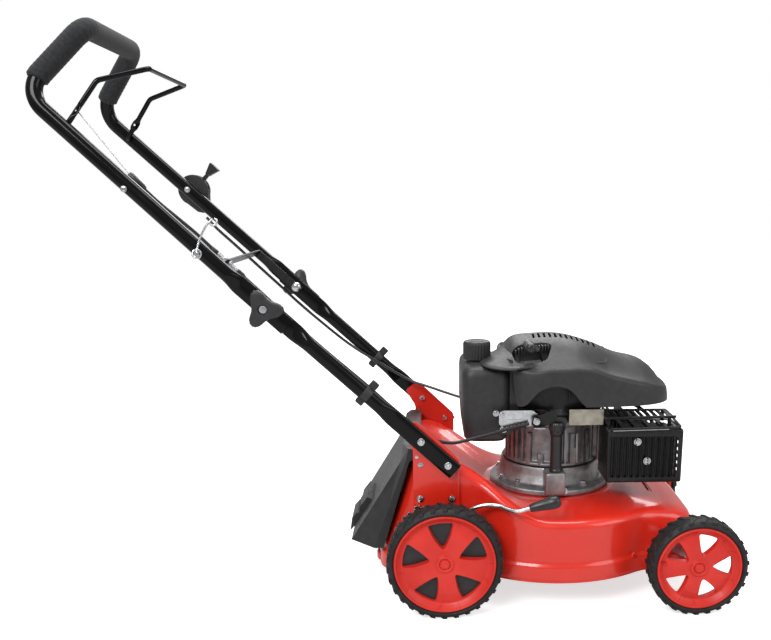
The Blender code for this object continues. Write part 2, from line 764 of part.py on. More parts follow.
def build_rear_flap():
    """Hollow plastic cover over the discharge opening, with a lip to lift it by."""
    flap = finish("rear_flap", flap_hull(0.0), black_plastic(), FLAP_HINGE)
    carved(flap, finish("hollow", flap_hull(0.003), black_plastic()))
    across = Vector((0, 0.2, 0))
    bore = rod(FLAP_HINGE - across, FLAP_HINGE + across, 0.0034, 12)
    carved(flap, finish("hinge_bore", bore, black_plastic()))
    cheek = [(-0.0560, 0.2240), (-0.0975, 0.0835), (-0.1110, 0.0835), (-0.0600, 0.2200)]
    for side in (-1, 1):
        inner, outer = sorted((side * (FLAP_HALF_WIDTH - 0.0028), side * (FLAP_HALF_WIDTH - 0.0002)))
        joined(flap, finish("cheek", prism(cheek, inner, outer), black_plastic()))
    lip = [(-0.1240, 0.1310), (-0.1400, 0.1250), (-0.1500, 0.1030), (-0.1570, 0.0980), (-0.1600, 0.0780),
           (-0.1490, 0.0900)]
    return joined(flap, finish("lip", prism(lip, -0.035, 0.035), black_plastic()))


def build_flap_hinge_rod():
    reach = Vector((0, BRACKET_Y + SHEET + 0.0015, 0))
    return finish("flap_hinge_rod", rod(FLAP_HINGE - reach, FLAP_HINGE + reach, 0.0030, 12), zinc())


def build_flap_spring():
    """Torsion spring on the hinge rod, between the right bracket and the flap."""
    coil_radius, wire_radius, turns, samples = 0.0047, 0.0007, 4, 9
    start_y = -(BRACKET_Y - 0.0015)
    pitch = 0.0026
    path = []
    for k in range(turns * samples + 1):
        angle = 2 * pi * k / samples + 0.4
        along = start_y + pitch * k / samples
        path.append(FLAP_HINGE + Vector((coil_radius * cos(angle), along, coil_radius * sin(angle))))
    return finish("flap_spring", round_tube(path, wire_radius, 5, (0, 1, 0.1)), zinc())


# ---------------------------------------------------------------- running gear


def spoke_window(centre, aim, inner, outer, half_angle):
    """Rounded three-sided window between two spokes, with slightly bowed sides."""
    reach, wide = outer * cos(half_angle), outer * sin(half_angle)
    side = [
        (inner + 0.0016, 0.0034), (inner + (reach - inner) * 0.45, wide * 0.55 + 0.0012),
        (reach - 0.0055, wide), (reach - 0.0005, wide - 0.0028),
    ]
    shape = [(inner, 0.0)] + side + [(outer, 0.0)] + [(r, -t) for r, t in reversed(side)]
    c, s = cos(aim), sin(aim)
    return [(centre[0] + r * c - t * s, centre[1] + r * s + t * c) for r, t in shape]


def build_rim(name, axle, radius, side):
    """Five-spoke plastic wheel with a closed web behind the spokes and a blind hub bore."""
    outer = radius - 0.0112
    depth = WHEEL_OUTER_Y - WHEEL_INNER_Y
    face = depth - 0.006
    outline = [
        (SPINDLE_RADIUS + GAP, 0.001), (0.011, 0.001), (0.012, face - 0.014), (outer - 0.012, face - 0.013),
        (outer - 0.006, 0.003), (outer, 0.003), (outer, face + 0.003), (outer - 0.007, face + 0.001),
        (outer - 0.013, face - 0.004), (0.016, face - 0.003), (0.010, face + 0.003), (0.003, face + 0.003),
        (0.003, face - 0.0005), (SPINDLE_RADIUS + GAP, face - 0.0005),
    ]
    base = axle + Vector((0, side * WHEEL_INNER_Y, 0))
    rim = finish(name, turned(outline, base, (0, side, 0), 20), red_plastic(), axle)
    inside, outside = Vector((0, side * (face - 0.0004), 0)), Vector((0, side * (face + 0.002), 0))
    joined(rim, finish("cap", rod(base + inside, base + outside, 0.0045, 12), red_plastic()))
    low, high = sorted((side * (WHEEL_INNER_Y + face - 0.0105), side * (WHEEL_OUTER_Y + 0.01)))
    first = 96 if radius == REAR_RADIUS else 74
    for k in range(5):
        aim = radians(first + 72 * k)
        window = spoke_window((axle.x, axle.z), aim, radius * 0.285, outer - 0.0130, radians(17.5))
        carved(rim, finish("window", prism(window, low, high), red_plastic()))
    return rim


def build_tyre(name, axle, radius, side):
    """Solid tyre, moulded round the rim, with a crowned tread."""
    seat = (radius - 0.0112) / cos(pi / 32) + GAP
    depth = WHEEL_OUTER_Y - WHEEL_INNER_Y
    crown = radius / cos(pi / 32)
    outline = [
        (seat, 0.002), (seat + 0.004, 0.0), (radius - 0.004, 0.002), (crown, 0.008),
        (crown, depth - 0.008), (radius - 0.004, depth - 0.002), (seat + 0.004, depth), (seat, depth - 0.002),
    ]
    base = axle + Vector((0, side * WHEEL_INNER_Y, 0))
    return finish(name, turned(outline, base, (0, side, 0), 32), rubber(), axle)


def build_axle(name, pivot, axle):
    """Crank axle: a cross rod through the deck, an arm and a wheel spindle at each end, a link arm."""
    reach = 0.1600
    across = Vector((0, reach, 0))
    shaft = finish(name, rod(pivot - across, pivot + across, 0.0040, 12), zinc(), pivot)
    for _, side in SIDES:
        inner, outer = sorted((side * 0.1565, side * 0.1615))
        angle = atan2((axle - pivot).z, (axle - pivot).x) * 180 / pi
        bar = arc((pivot.x, pivot.z), 0.009, angle + 90, angle + 270, 8)
        bar += arc((axle.x, axle.z), 0.009, angle - 90, angle + 90, 8)
        joined(shaft, finish("arm", prism(bar, inner, outer), zinc()))
        start = axle + Vector((0, side * 0.1580, 0))
        end = axle + Vector((0, side * (WHEEL_OUTER_Y - 0.0075), 0))
        joined(shaft, finish("spindle", rod(start, end, SPINDLE_RADIUS, 16), zinc()))
    pin = pivot + Vector((0, 0, LINK_ARM))
    link_arm = arc((pivot.x, pivot.z), 0.007, 180, 360, 8) + arc((pin.x, pin.z), 0.005, 0, 180, 6)
    joined(shaft, finish("link_arm", prism(link_arm, LINK_Y - 0.0065, LINK_Y - 0.0025), zinc()))
    stub = rod(pin + Vector((0, LINK_Y - 0.0040, 0)), pin + Vector((0, LINK_Y + 0.0030, 0)), 0.0022, 10)
    return joined(shaft, finish("link_pin", stub, zinc()))


def build_link_rod():
    """Bar that makes the front crank follow the rear one."""
    rear = REAR_PIVOT + Vector((0, 0, LINK_ARM))
    front = FRONT_PIVOT + Vector((0, 0, LINK_ARM))
    angle = atan2((front - rear).z, (front - rear).x) * 180 / pi
    outline = arc((rear.x, rear.z), 0.005, angle + 90, angle + 270, 6)
    outline += arc((front.x, front.z), 0.005, angle - 90, angle + 90, 6)
    link = finish("link_rod", prism(outline, LINK_Y - 0.0021, LINK_Y + 0.0009), zinc(), rear)
    across = Vector((0, 0.2, 0))
    carved(link, finish("eye", rod(rear - across, rear + across, 0.0026, 12), zinc()))
    return carved(link, finish("eye", rod(front - across, front + across, 0.0030, 12), zinc()))


LEVER_ROUTE = [
    (0.0080, -0.1655, 0.1270), (0.0280, -0.1700, 0.1500), (0.0450, -0.1775, 0.1650), (0.0650, -0.1800, 0.1710),
    (0.0850, -0.1835, 0.1705), (0.1000, -0.1960, 0.1685), (0.1130, -0.2040, 0.1690), (0.1300, -0.2050, 0.1738),
]


def build_height_lever():
    """Height lever: a hub plate with an index finger, and a bent rod."""
    centre = (REAR_PIVOT.x, REAR_PIVOT.z)
    plate_low, plate_high = -0.1660, -0.1620
    hub = arc(centre, 0.011, 150, 330, 8) + [(0.0160, 0.1270), (0.0060, 0.1340)]
    lever = finish("height_lever", prism(hub, plate_low, plate_high), zinc(), REAR_PIVOT)
    aim = 105
    finger = arc(centre, 0.008, aim - 40, aim + 40, 1) + arc(centre, 0.0630, aim + 4, aim - 4, 1)
    joined(lever, finish("finger", prism(finger, plate_low, plate_high), zinc()))
    tooth = arc(centre, 0.0575, aim - 3.2, aim + 3.2, 1) + arc(centre, 0.0625, aim + 3, aim - 3, 1)
    joined(lever, finish("tooth", prism(tooth, -0.1630, -0.1545), zinc()))
    route = smooth_route(LEVER_ROUTE, 0.012)
    joined(lever, finish("rod", round_tube(route, 0.0032, 10), zinc()))
    return lever


def build_lever_grip():
    """Tapered plastic grip pushed over the end of the lever."""
    start = Vector(LEVER_ROUTE[-1])
    along = (start - Vector(LEVER_ROUTE[-2])).normalized()
    outline = [(0, GAP), (0.0055, GAP), (0.0062, 0.002), (0.0095, 0.026), (0.0108, 0.036), (0.0100, 0.043),
               (0.0070, 0.0475), (0, 0.049)]
    grip = turned(outline, start, along, 14)
    return finish("lever_grip", grip, black_plastic())


# ---------------------------------------------------------------- engine


def shaft_point(height):
    return Vector((ENGINE_X, 0, height))


def carved_bore(base, low, high, radius):
    return carved(base, finish("bore", rod(shaft_point(low), shaft_point(high), radius, 20), cast_alloy()))


def build_engine_sump():
    """Cast oil sump: mounting flange, dome, pilot through the deck and the filler boss."""
    outline = [(0, 0.1480), (0.0270, 0.1480), (0.0270, 0.1563), (0.1015, 0.1563), (0.1025, 0.1580), (0.1025, 0.1650),
               (0.0990, 0.1675), (0.0900, 0.1720), (0.0840, 0.1850), (0.0820, 0.1998), (0, 0.1998)]
    sump = finish("engine_sump", turned(outline, shaft_point(0), segments=28), cast_alloy())
    boss = box((FILLER.x - 0.018, -0.1125, 0.1600), (FILLER.x + 0.016, -0.0700, 0.1998), 0.004, 1)
    joined(sump, finish("boss", boss, cast_alloy()))
    return carved_bore(sump, 0.14, 0.21, 0.0130)


def build_engine_block():
    """Crankcase and finned cylinder in one casting."""
    outline = [(0, 0.2003), (0.0765, 0.2003), (0.0765, 0.2060), (0.0740, 0.2080), (0.0740, 0.2660), (0.0762, 0.2690),
               (0.0762, BLOCK_TOP_Z), (0, BLOCK_TOP_Z)]
    block = finish("engine_block", turned(outline, shaft_point(0), segments=24), cast_alloy())
    for angle in range(205, 336, 26):
        middle = shaft_point(0) + Vector((0.0755 * cos(radians(angle)), 0.0755 * sin(radians(angle)), 0))
        rib = rod(middle + Vector((0, 0, 0.2030)), middle + Vector((0, 0, 0.2700)), 0.0045, 6)
        joined(block, finish("rib", rib, cast_alloy()))
    barrel = box((ENGINE_X + 0.055, -0.034, 0.2040), (0.3040, 0.034, 0.2720), 0.004, 1)
    joined(block, finish("barrel", barrel, cast_alloy()))
    for x in (0.266, 0.275, 0.284, 0.293):
        fin = box((x, -0.044, 0.2010), (x + 0.003, 0.044, 0.2755))
        joined(block, finish("fin", fin, cast_alloy()))
    return carved_bore(block, 0.19, 0.29, 0.0130)


def build_cylinder_head():
    head = finish("cylinder_head", box((0.3043, -0.040, 0.1990), (0.3190, 0.040, 0.2760), 0.003, 1), cast_alloy())
    for z in (0.2030, 0.2140, 0.2250, 0.2440, 0.2550, 0.2660):
        fin = finish("fin", box((0.3170, -0.046, z), (0.3400, 0.046, z + 0.003)), cast_alloy())
        joined(head, fin)
    seat = finish("seat", rod((0.3100, 0, 0.2360), (0.3300, 0, 0.2360), 0.012, 16), cast_alloy())
    joined(head, seat)
    carved(head, finish("well", rod((0.3302, 0, 0.2360), (0.345, 0, 0.2360), 0.0125, 16), cast_alloy()))
    thread = rod((0.3180, 0, 0.2360), (0.345, 0, 0.2360), 0.0068, 12)
    return carved(head, finish("thread", thread, cast_alloy()))


def build_spark_plug():
    outline = [(0, 0), (0.0062, 0), (0.0062, 0.0120), (0.0100, 0.0125), (0.0100, 0.0210), (0.0060, 0.0225),
               (0.0055, 0.0300), (0.0085, 0.0310), (0.0085, 0.0480), (0.0060, 0.0510), (0, 0.0510)]
    return finish("spark_plug", turned(outline, (0.3190, 0, 0.2360), (1, 0, 0), 12), dark_steel())


def build_muffler():
    """Silencer can beside the cylinder, with its pipe to the exhaust port."""
    can = finish("muffler", box((0.2860, -0.1120, 0.1960), (0.3780, -0.0600, 0.2740), 0.012, 2), dark_steel())
    pipe = finish("pipe", rod((0.3110, -0.0650, 0.2360), (0.3110, -0.0405, 0.2360), 0.010, 12), dark_steel())
    return joined(can, pipe)


def build_muffler_guard():
    """Slotted steel cage over the silencer, open behind and below."""
    guard = finish("muffler_guard", box((0.2620, -0.1260, 0.1830), (0.3860, -0.0520, 0.2830), 0.002, 1), dark_steel())
    inside = box((0.2642, -0.1238, 0.1700), (0.3838, -0.0300, 0.2808))
    carved(guard, finish("inside", inside, dark_steel()))
    for k in range(8):
        x = 0.2710 + 0.0140 * k
        slot = box((x, -0.1300, 0.1980), (x + 0.006, -0.1200, 0.2620))
        carved(guard, finish("slot", slot, dark_steel()))
    for z in (0.2000, 0.2250, 0.2500):
        slot = box((0.3780, -0.1140, z), (0.3900, -0.0620, z + 0.012))
        carved(guard, finish("slot", slot, dark_steel()))
    for k in range(4):
        x = 0.2750 + 0.0260 * k
        slot = box((x, -0.1080, 0.2700), (x + 0.016, -0.0640, 0.2950))
        carved(guard, finish("slot", slot, dark_steel()))
    return guard


def build_carburettor():
    body = finish("carburettor", box((0.2130, 0.0480, 0.2380), (0.2500, 0.1180, 0.2740), 0.004, 1), cast_alloy())
    bowl = finish("bowl", rod((0.2320, 0.090, 0.2140), (0.2320, 0.090, 0.2450), 0.0170, 16), cast_alloy())
    joined(body, bowl)
    gasket_side = finish("cut", rod(shaft_point(0.19), shaft_point(0.30), 0.0770, 30), cast_alloy())
    return carved(body, gasket_side)


def build_air_filter_box():
    """Air filter case on the left of the engine."""
    case = finish("air_filter_box", box((0.1700, 0.1185, 0.2300), (0.2900, 0.1690, 0.2960), 0.010, 2), black_plastic())
    return case


def build_fuel_tank():
    """Blow-moulded tank behind the engine, hollow, with a filler neck."""
    low, high = Vector((0.0310, -0.0890, 0.2460)), Vector((0.1090, 0.0820, 0.3720))
    bm = box(low, high)
    for vert in bm.verts:
        if vert.co.z < 0.3:
            vert.co.x += 0.004 if vert.co.x < 0.06 else -0.003
    bmesh.ops.bevel(bm, geom=bm.edges, offset=0.012, segments=3, affect="EDGES", profile=0.5)
    tank = finish("fuel_tank", bm, black_plastic())
    neck_base = Vector((FUEL_CAP.x, FUEL_CAP.y, 0.3600))
    joined(tank, finish("neck", rod(neck_base, neck_base + Vector((0, 0, 0.0290)), 0.0165, 20), black_plastic()))
    hollow = box(low + Vector((0.0075, 0.0060, 0.0050)), high - Vector((0.0060, 0.0060, 0.0050)), 0.006, 1)
    carved(tank, finish("hollow", hollow, black_plastic()))
    mouth = rod(neck_base, neck_base + Vector((0, 0, 0.05)), 0.0135, 20)
    return carved(tank, finish("mouth", mouth, black_plastic()))


def build_fuel_cap():
    base = Vector((FUEL_CAP.x, FUEL_CAP.y, 0.3735))
    outline = [(0.0172, 0.0), (0.0220, 0.0), (0.0230, 0.002), (0.0230, 0.026), (0.0215, 0.0300), (0.0005, 0.0320),
               (0.0005, 0.0165), (0.0172, 0.0165)]
    cap = finish("fuel_cap", turned(outline, base, segments=20), black_plastic(), base)
    plug = rod(base + Vector((0, 0, 0.0170)), base + Vector((0, 0, 0.0318)), 0.002, 10)
    return joined(cap, finish("plug", plug, black_plastic()))


SHROUD_PROFILE = ((0.099, 0.384), (0.119, 0.405), (0.149, 0.4105), (0.200, 0.4105), (0.252, 0.397), (0.290, 0.381),
                  (0.347, 0.362), (0.387, 0.308))


def shroud_radius(angle):
    """Outline of the blower housing seen from above."""
    power = 3.6
    reach = 0.196 if cos(angle) > 0 else 0.090
    return ((abs(cos(angle)) / reach) ** power + (abs(sin(angle)) / 0.118) ** power) ** (-1 / power)


def shroud_top(x, y):
    """Height of the cowl's top: its long profile, falling away to both sides."""
    for (x0, z0), (x1, z1) in zip(SHROUD_PROFILE, SHROUD_PROFILE[1:]):
        if x <= x1:
            break
    share = max(0.0, (x - x0) / (x1 - x0))
    return z0 + (z1 - z0) * share - 0.030 * (y / 0.117) ** 2


def shroud_rings(angle):
    """The blower housing's surface at one angle, from the middle of its top to its bottom edge."""
    edge = shroud_radius(angle)
    x, y = ENGINE_X + edge * cos(angle), edge * sin(angle)
    ring = []
    for share in (0.30, 0.55, 0.80):
        ring.append((edge * share, shroud_top(ENGINE_X + (x - ENGINE_X) * share, y * share)))
    crown = ring[-1][1]
    over_tank = smoothstep((0.106 - abs(y)) / 0.012) * smoothstep((0.130 - x) / 0.010)
    bottom = 0.3110 + 0.0680 * over_tank
    front = smoothstep((x - 0.300) / 0.06)
    corner = max(bottom + 0.006, crown - 0.045)
    for share, side_fall, front_fall in ((0.90, 0.14, 0.50), (0.965, 0.42, 0.85)):
        fall = side_fall + (front_fall - side_fall) * front
        ring.append((edge * share, crown - (crown - corner) * fall))
    ring.append((edge, corner))
    ring.append((edge - 0.004 * front, bottom))
    return ring


def build_blower_housing():
    """Moulded cowl over the flywheel, open below, with the starter's recess and a front arch."""
    segments = 36
    angles = [2 * pi * (i + 0.5) / segments for i in range(segments)]
    bm = bmesh.new()
    rings = [[Vector((ENGINE_X + r * cos(a), r * sin(a), z)) for a in angles for r, z in [shroud_rings(a)[k]]]
             for k in range(len(shroud_rings(0.0)))]
    loops = skin(bm, rings, caps=False)
    top = bm.verts.new((ENGINE_X, 0, shroud_top(ENGINE_X, 0)))
    for i in range(segments):
        bm.faces.new((loops[0][i], loops[0][(i + 1) % segments], top))
    cowl = finish("blower_housing", bm, black_plastic())
    wall = cowl.modifiers.new("wall", "SOLIDIFY")
    wall.thickness = SHEET
    wall.offset = -1
    tongue = [(0.060, -0.080), (0.068, -0.100), (0.094, -0.116), (0.140, -0.110), (0.140, -0.040), (0.112, -0.040)]
    joined(cowl, finish("tongue", prism(tongue, 0.3745, 0.3785, "Z"), black_plastic()))
    grip = STARTER_GRIP
    recess = box((grip.x - 0.030, -0.140, grip.z - 0.022), (grip.x + 0.030, grip.y + 0.026, grip.z + 0.030))
    carved(cowl, finish("recess", recess, black_plastic()))
    arch = [
        (0.1250, 0.3000), (0.1250, 0.3125), (0.1340, 0.3165), (0.1430, 0.3270), (0.1550, 0.3365), (0.1700, 0.3412),
        (0.1860, 0.3415), (0.1990, 0.3380), (0.2100, 0.3305), (0.2185, 0.3205), (0.2270, 0.3130), (0.2270, 0.3000),
    ]
    return carved(cowl, finish("arch", prism(arch, -0.150, -0.080), black_plastic()))


def build_oil_filler_tube():
    base = Vector((FILLER.x, FILLER.y, 0.2003))
    outline = [(0.0060, 0), (0.0095, 0), (0.0092, 0.060), (0.0110, 0.0640), (0.0110, 0.0680), (0.0060, 0.0680)]
    return finish("oil_filler_tube", turned(outline, base, segments=16), black_plastic())


def build_dipstick():
    """Cap with two finger wings, and the measuring blade below it."""
    base = Vector((FILLER.x, FILLER.y, 0.2686))
    outline = [
        (0, -0.0560), (0.0022, -0.0560), (0.0022, 0), (0.0118, 0), (0.0118, 0.0110), (0.0090, 0.0150),
        (0, 0.0150),
    ]
    cap = finish("dipstick", turned(outline, base, segments=16), black_plastic(), base)
    wing = box(base + Vector((-0.0150, -0.0022, 0.0070)), base + Vector((0.0150, 0.0022, 0.0200)), 0.001, 1)
    return joined(cap, finish("wing", wing, black_plastic()))


def build_control_plate():
    plate = finish("control_plate", box((0.0920, -0.1015, 0.2765), (0.1530, -0.1000, 0.3020)), zinc())
    tab = box((0.1140, -0.1012, BLOCK_TOP_Z + GAP), (0.1530, -0.0600, BLOCK_TOP_Z + 0.0018))
    return joined(plate, finish("tab", tab, zinc()))


def build_heat_shield():
    plate = finish("heat_shield", box((0.2060, -0.0985, 0.2768), (0.2590, -0.0970, 0.3020)), zinc())
    tab = box((0.2060, -0.0980, BLOCK_TOP_Z + GAP), (0.2300, -0.0600, BLOCK_TOP_Z + 0.0018))
    return joined(plate, finish("tab", tab, zinc()))


def build_brake_lever():
    """Engine brake arm that the cable pulls; it turns on an upright pin."""
    z = BRAKE_PIVOT.z
    outline = arc((BRAKE_PIVOT.x, BRAKE_PIVOT.y), 0.007, 100, 260, 6)
    outline += [(BRAKE_PIVOT.x + 0.013, BRAKE_PIVOT.y - 0.007), (BRAKE_PIVOT.x + 0.017, BRAKE_PIVOT.y - 0.003),
                (BRAKE_PIVOT.x + 0.014, BRAKE_PIVOT.y + 0.001)]
    return finish("brake_lever", prism(outline, z, z + 0.0025, "Z"), dark_steel(), BRAKE_PIVOT)


def build_crankshaft():
    outline = [
        (0, 0.0700), (0.0110, 0.0700), (0.0125, 0.0715), (0.0125, 0.3180), (0.0070, 0.3190), (0.0070, 0.3330),
        (0, 0.3330),
    ]
    return finish("crankshaft", turned(outline, shaft_point(0), segments=20), zinc(), shaft_point(0.2))


def build_flywheel():
    """Cast flywheel with a ring of fan vanes."""
    outline = [(0.0128, 0.2850), (0.0250, 0.2850), (0.0300, 0.2880), (0.0760, 0.2880), (0.0760, 0.3020),
               (0.0300, 0.3040), (0.0200, 0.3160), (0.0128, 0.3160)]
    wheel = finish("flywheel", turned(outline, shaft_point(0), segments=24), cast_alloy(), shaft_point(0.3))
    for k in range(10):
        angle = 2 * pi * k / 10
        start = shaft_point(0) + Vector((0.045 * cos(angle), 0.045 * sin(angle), 0))
        end = shaft_point(0) + Vector((0.074 * cos(angle + 0.35), 0.074 * sin(angle + 0.35), 0))
        along = (end - start).normalized()
        wide = Vector((-along.y, along.x, 0)) * 0.0013
        vane = [start - wide, end - wide, end + wide, start + wide]
        joined(wheel, finish("vane", prism([(p.x, p.y) for p in vane], 0.3010, 0.3200, "Z"), cast_alloy()))
    return wheel


def build_blade_adapter():
    """Hub keyed on the shaft; the blade sits against its lower face."""
    outline = [(0.0128, 0.0680), (0.0128, 0.1000), (0.0200, 0.1000), (0.0200, 0.0760), (0.0280, 0.0720),
               (0.0280, BLADE_Z + 0.0025 + GAP), (0.0060, BLADE_Z + 0.0025 + GAP), (0.0060, 0.0680)]
    hub = turned(outline, shaft_point(0), segments=24)
    return finish("blade_adapter", hub, dark_steel(), shaft_point(BLADE_Z))


def build_blade():
    """Two-edged mowing blade with lifted rear edges at its tips."""
    half, thick = 0.0225, 0.0020
    rings = []
    for share in (-1, -0.72, -0.60, 0.60, 0.72, 1):
        lift = 0.013 if abs(share) > 0.7 else 0.0
        back = 1 if share > 0 else -1
        width = half
        x = ENGINE_X + BLADE_RADIUS * share
        low, high = BLADE_Z - thick, BLADE_Z + thick
        lead, trail = -back * width, back * width
        rings.append([Vector((x, lead, low)), Vector((x, trail * 0.4, low)), Vector((x, trail, low + lift)),
                      Vector((x, trail, high + lift)), Vector((x, trail * 0.4, high)), Vector((x, lead, high))]
                     if back > 0 else
                     [Vector((x, trail, low + lift)), Vector((x, trail * 0.4, low)), Vector((x, lead, low)),
                      Vector((x, lead, high)), Vector((x, trail * 0.4, high)), Vector((x, trail, high + lift))])
    bm = bmesh.new()
    skin(bm, rings)
    blade = finish("blade", bm, dark_steel(), shaft_point(BLADE_Z))
    hole = rod(shaft_point(0.04), shaft_point(0.08), 0.0060, 16)
    return carved(blade, finish("hole", hole, dark_steel()))


def build_blade_bolt():
    outline = [(0, BLADE_Z - 0.0120), (0.0095, BLADE_Z - 0.0120), (0.0095, BLADE_Z - 0.0050), (0.0150, BLADE_Z - 0.0045),
               (0.0150, BLADE_Z - 0.0023), (0.0050, BLADE_Z - 0.0023), (0.0050, 0.0695), (0, 0.0695)]
    return finish("blade_bolt", turned(outline, shaft_point(0), segments=12), zinc(), shaft_point(BLADE_Z))


def build_starter_pulley():
    """Grooved rope pulley of the recoil starter, hung above the flywheel."""
    outline = [(0.0060, 0.3400), (0.0290, 0.3400), (0.0290, 0.3425), (0.0240, 0.3445), (0.0240, 0.3485), (0.0290, 0.3505),
               (0.0290, 0.3530), (0.0060, 0.3530)]
    pulley = turned(outline, shaft_point(0), segments=20)
    return finish("starter_pulley", pulley, black_plastic(), shaft_point(0.3465))


def build_starter_handle():
    """T-shaped pull grip, parked in the cowl's recess."""
    grip = STARTER_GRIP
    outline = [
        (0, -0.0260), (0.0060, -0.0255), (0.0085, -0.0200), (0.0080, 0.0), (0.0085, 0.0200), (0.0060, 0.0255),
        (0, 0.0260),
    ]
    bar = finish("starter_handle", turned(outline, grip, (0, 1, 0.0), 14), black_plastic(), grip)
    stem_end = grip - STARTER_PULL * 0.016
    stem = finish("stem", rod(stem_end, grip, 0.0055, 12), black_plastic())
    return joined(bar, stem)


def build_starter_rope():
    start = Vector((ENGINE_X - 0.010, -0.024, 0.3465))
    end = STARTER_GRIP - STARTER_PULL * 0.0185
    start = start + (end - start).normalized() * 0.0100
    return finish("starter_rope", rod(start, end, 0.0015, 6), cable_jacket())


# ---------------------------------------------------------------- assembly


def build_wheels():
    for place, axle, radius in (("rear", REAR_AXLE, REAR_RADIUS), ("front", FRONT_AXLE, FRONT_RADIUS)):
        for name, side in SIDES:
            build_rim(f"{place}_rim_{name}", axle, radius, side)
            build_tyre(f"{place}_tyre_{name}", axle, radius, side)


def build_pairs():
    for name, side in SIDES:
        build_handle_bracket(f"handle_bracket_{name}", side)
        build_lower_handle(f"lower_handle_{name}", side)
        build_fold_bolt(f"fold_bolt_{name}", side)
        build_star_knob(f"star_knob_{name}", side)


def main():
    clear_scene()
    for build in (
        build_deck, build_height_quadrant, build_pairs, build_upper_handle, build_grip_sleeve, build_bail,
        build_throttle_housing, build_throttle_lever, build_rope_guide, build_cable_strap,
        build_brake_cable, build_brake_wire, build_throttle_cable,
        build_rear_flap, build_flap_hinge_rod, build_flap_spring,
        build_wheels, build_link_rod, build_height_lever, build_lever_grip,
        build_engine_sump, build_engine_block, build_cylinder_head, build_spark_plug,
        build_muffler, build_muffler_guard, build_carburettor, build_air_filter_box,
        build_fuel_tank, build_fuel_cap, build_blower_housing, build_oil_filler_tube, build_dipstick,
        build_control_plate, build_heat_shield, build_brake_lever,
        build_crankshaft, build_flywheel, build_blade_adapter, build_blade, build_blade_bolt,
        build_starter_pulley, build_starter_handle, build_starter_rope,
    ):
        build()
    build_axle("rear_axle", REAR_PIVOT, REAR_AXLE)
    build_axle("front_axle", FRONT_PIVOT, FRONT_AXLE)
    for item in bpy.data.objects:
        item.location.x += ORIGIN_SHIFT


main()
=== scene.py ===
"""The looks of a walk-behind petrol lawn mower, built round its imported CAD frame.

Lengths are metres. Geometry is written with X = 0 at the rear axle; SHIFT moves it into the row's frame.
"""

import json
from math import atan2, ceil, cos, hypot, pi, radians, sin

import bmesh
import bpy
from mathutils import Matrix, Vector


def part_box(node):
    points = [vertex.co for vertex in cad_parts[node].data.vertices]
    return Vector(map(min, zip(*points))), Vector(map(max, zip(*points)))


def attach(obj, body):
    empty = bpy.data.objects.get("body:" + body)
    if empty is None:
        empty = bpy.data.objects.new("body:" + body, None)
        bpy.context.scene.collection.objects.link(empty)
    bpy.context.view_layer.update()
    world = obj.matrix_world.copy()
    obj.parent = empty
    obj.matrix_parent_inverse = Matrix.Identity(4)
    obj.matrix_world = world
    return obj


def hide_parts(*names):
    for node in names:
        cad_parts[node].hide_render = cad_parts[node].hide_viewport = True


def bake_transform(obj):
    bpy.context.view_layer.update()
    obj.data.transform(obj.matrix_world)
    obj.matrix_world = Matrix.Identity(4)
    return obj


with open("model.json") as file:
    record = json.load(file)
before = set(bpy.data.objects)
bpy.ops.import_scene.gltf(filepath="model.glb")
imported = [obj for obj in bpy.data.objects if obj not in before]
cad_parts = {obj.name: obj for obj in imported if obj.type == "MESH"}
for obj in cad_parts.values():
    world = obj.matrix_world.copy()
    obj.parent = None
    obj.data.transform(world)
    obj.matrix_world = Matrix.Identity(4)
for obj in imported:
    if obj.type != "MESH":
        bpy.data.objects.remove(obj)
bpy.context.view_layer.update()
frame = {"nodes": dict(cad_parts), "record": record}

LOW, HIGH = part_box("rear_tyre_right")
SHIFT = Vector(((LOW.x + HIGH.x) / 2, 0, 0))
REAR_RADIUS = (HIGH.z - LOW.z) / 2
FRONT_RADIUS = (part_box("front_tyre_right")[1].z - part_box("front_tyre_right")[0].z) / 2
GAP = 0.0003
WHEEL_INNER_Y = 0.1855
WHEEL_OUTER_Y = 0.2255
WHEEL_DEPTH = WHEEL_OUTER_Y - WHEEL_INNER_Y
TYRE_HEIGHT = 0.0112
WHEELBASE = 0.394
CRANK_ARM = 0.03
CRANK_REST = radians(30)
REAR_AXLE = Vector((0, 0, REAR_RADIUS))
FRONT_AXLE = Vector((WHEELBASE, 0, FRONT_RADIUS))
CRANK = Vector((-CRANK_ARM * cos(CRANK_REST), 0, CRANK_ARM * sin(CRANK_REST)))
REAR_PIVOT = REAR_AXLE + CRANK
FRONT_PIVOT = FRONT_AXLE + CRANK
ENGINE_X = 0.186
FOLD = Vector((-0.262, 0, 0.477))
BAIL_PIVOT = Vector((-0.5365, 0, 0.733))
HANDLE_RUN = (BAIL_PIVOT - FOLD).normalized()
LOWER_RUN = Vector((0.2708, 0, -0.2485)).normalized()
HANDLE_BOLTS = ((-0.035, 0.2687), (0.0064, 0.23))
THROTTLE = Vector((-0.441, 0.182, 0.648))
FLAP_HINGE = Vector((-0.042, 0, 0.242))
FILLER = Vector((0.184, -0.1, 0))
CAP = Vector((0.058, -0.022, 0))
LOWER_Y = 0.158
UPPER_Y = 0.1665
TUBE = 0.011
BOLT_HOLE = 0.0043
STUD = 0.0026
SHEET = 0.0024
SIDES = (("right", -1), ("left", 1))

PHOTO_WIDTH, PHOTO_HEIGHT = 771, 640
PHOTO_CENTRE = (460.03, 418.23)
FOCAL_PIXELS = 883.97
SENSOR_WIDTH = 36
CAMERA_PLACE = Vector((-0.0223, -1.4777, 0.6339))
CAMERA_PITCH, CAMERA_YAW = 0.244, -0.036


# ---------------------------------------------------------------- camera


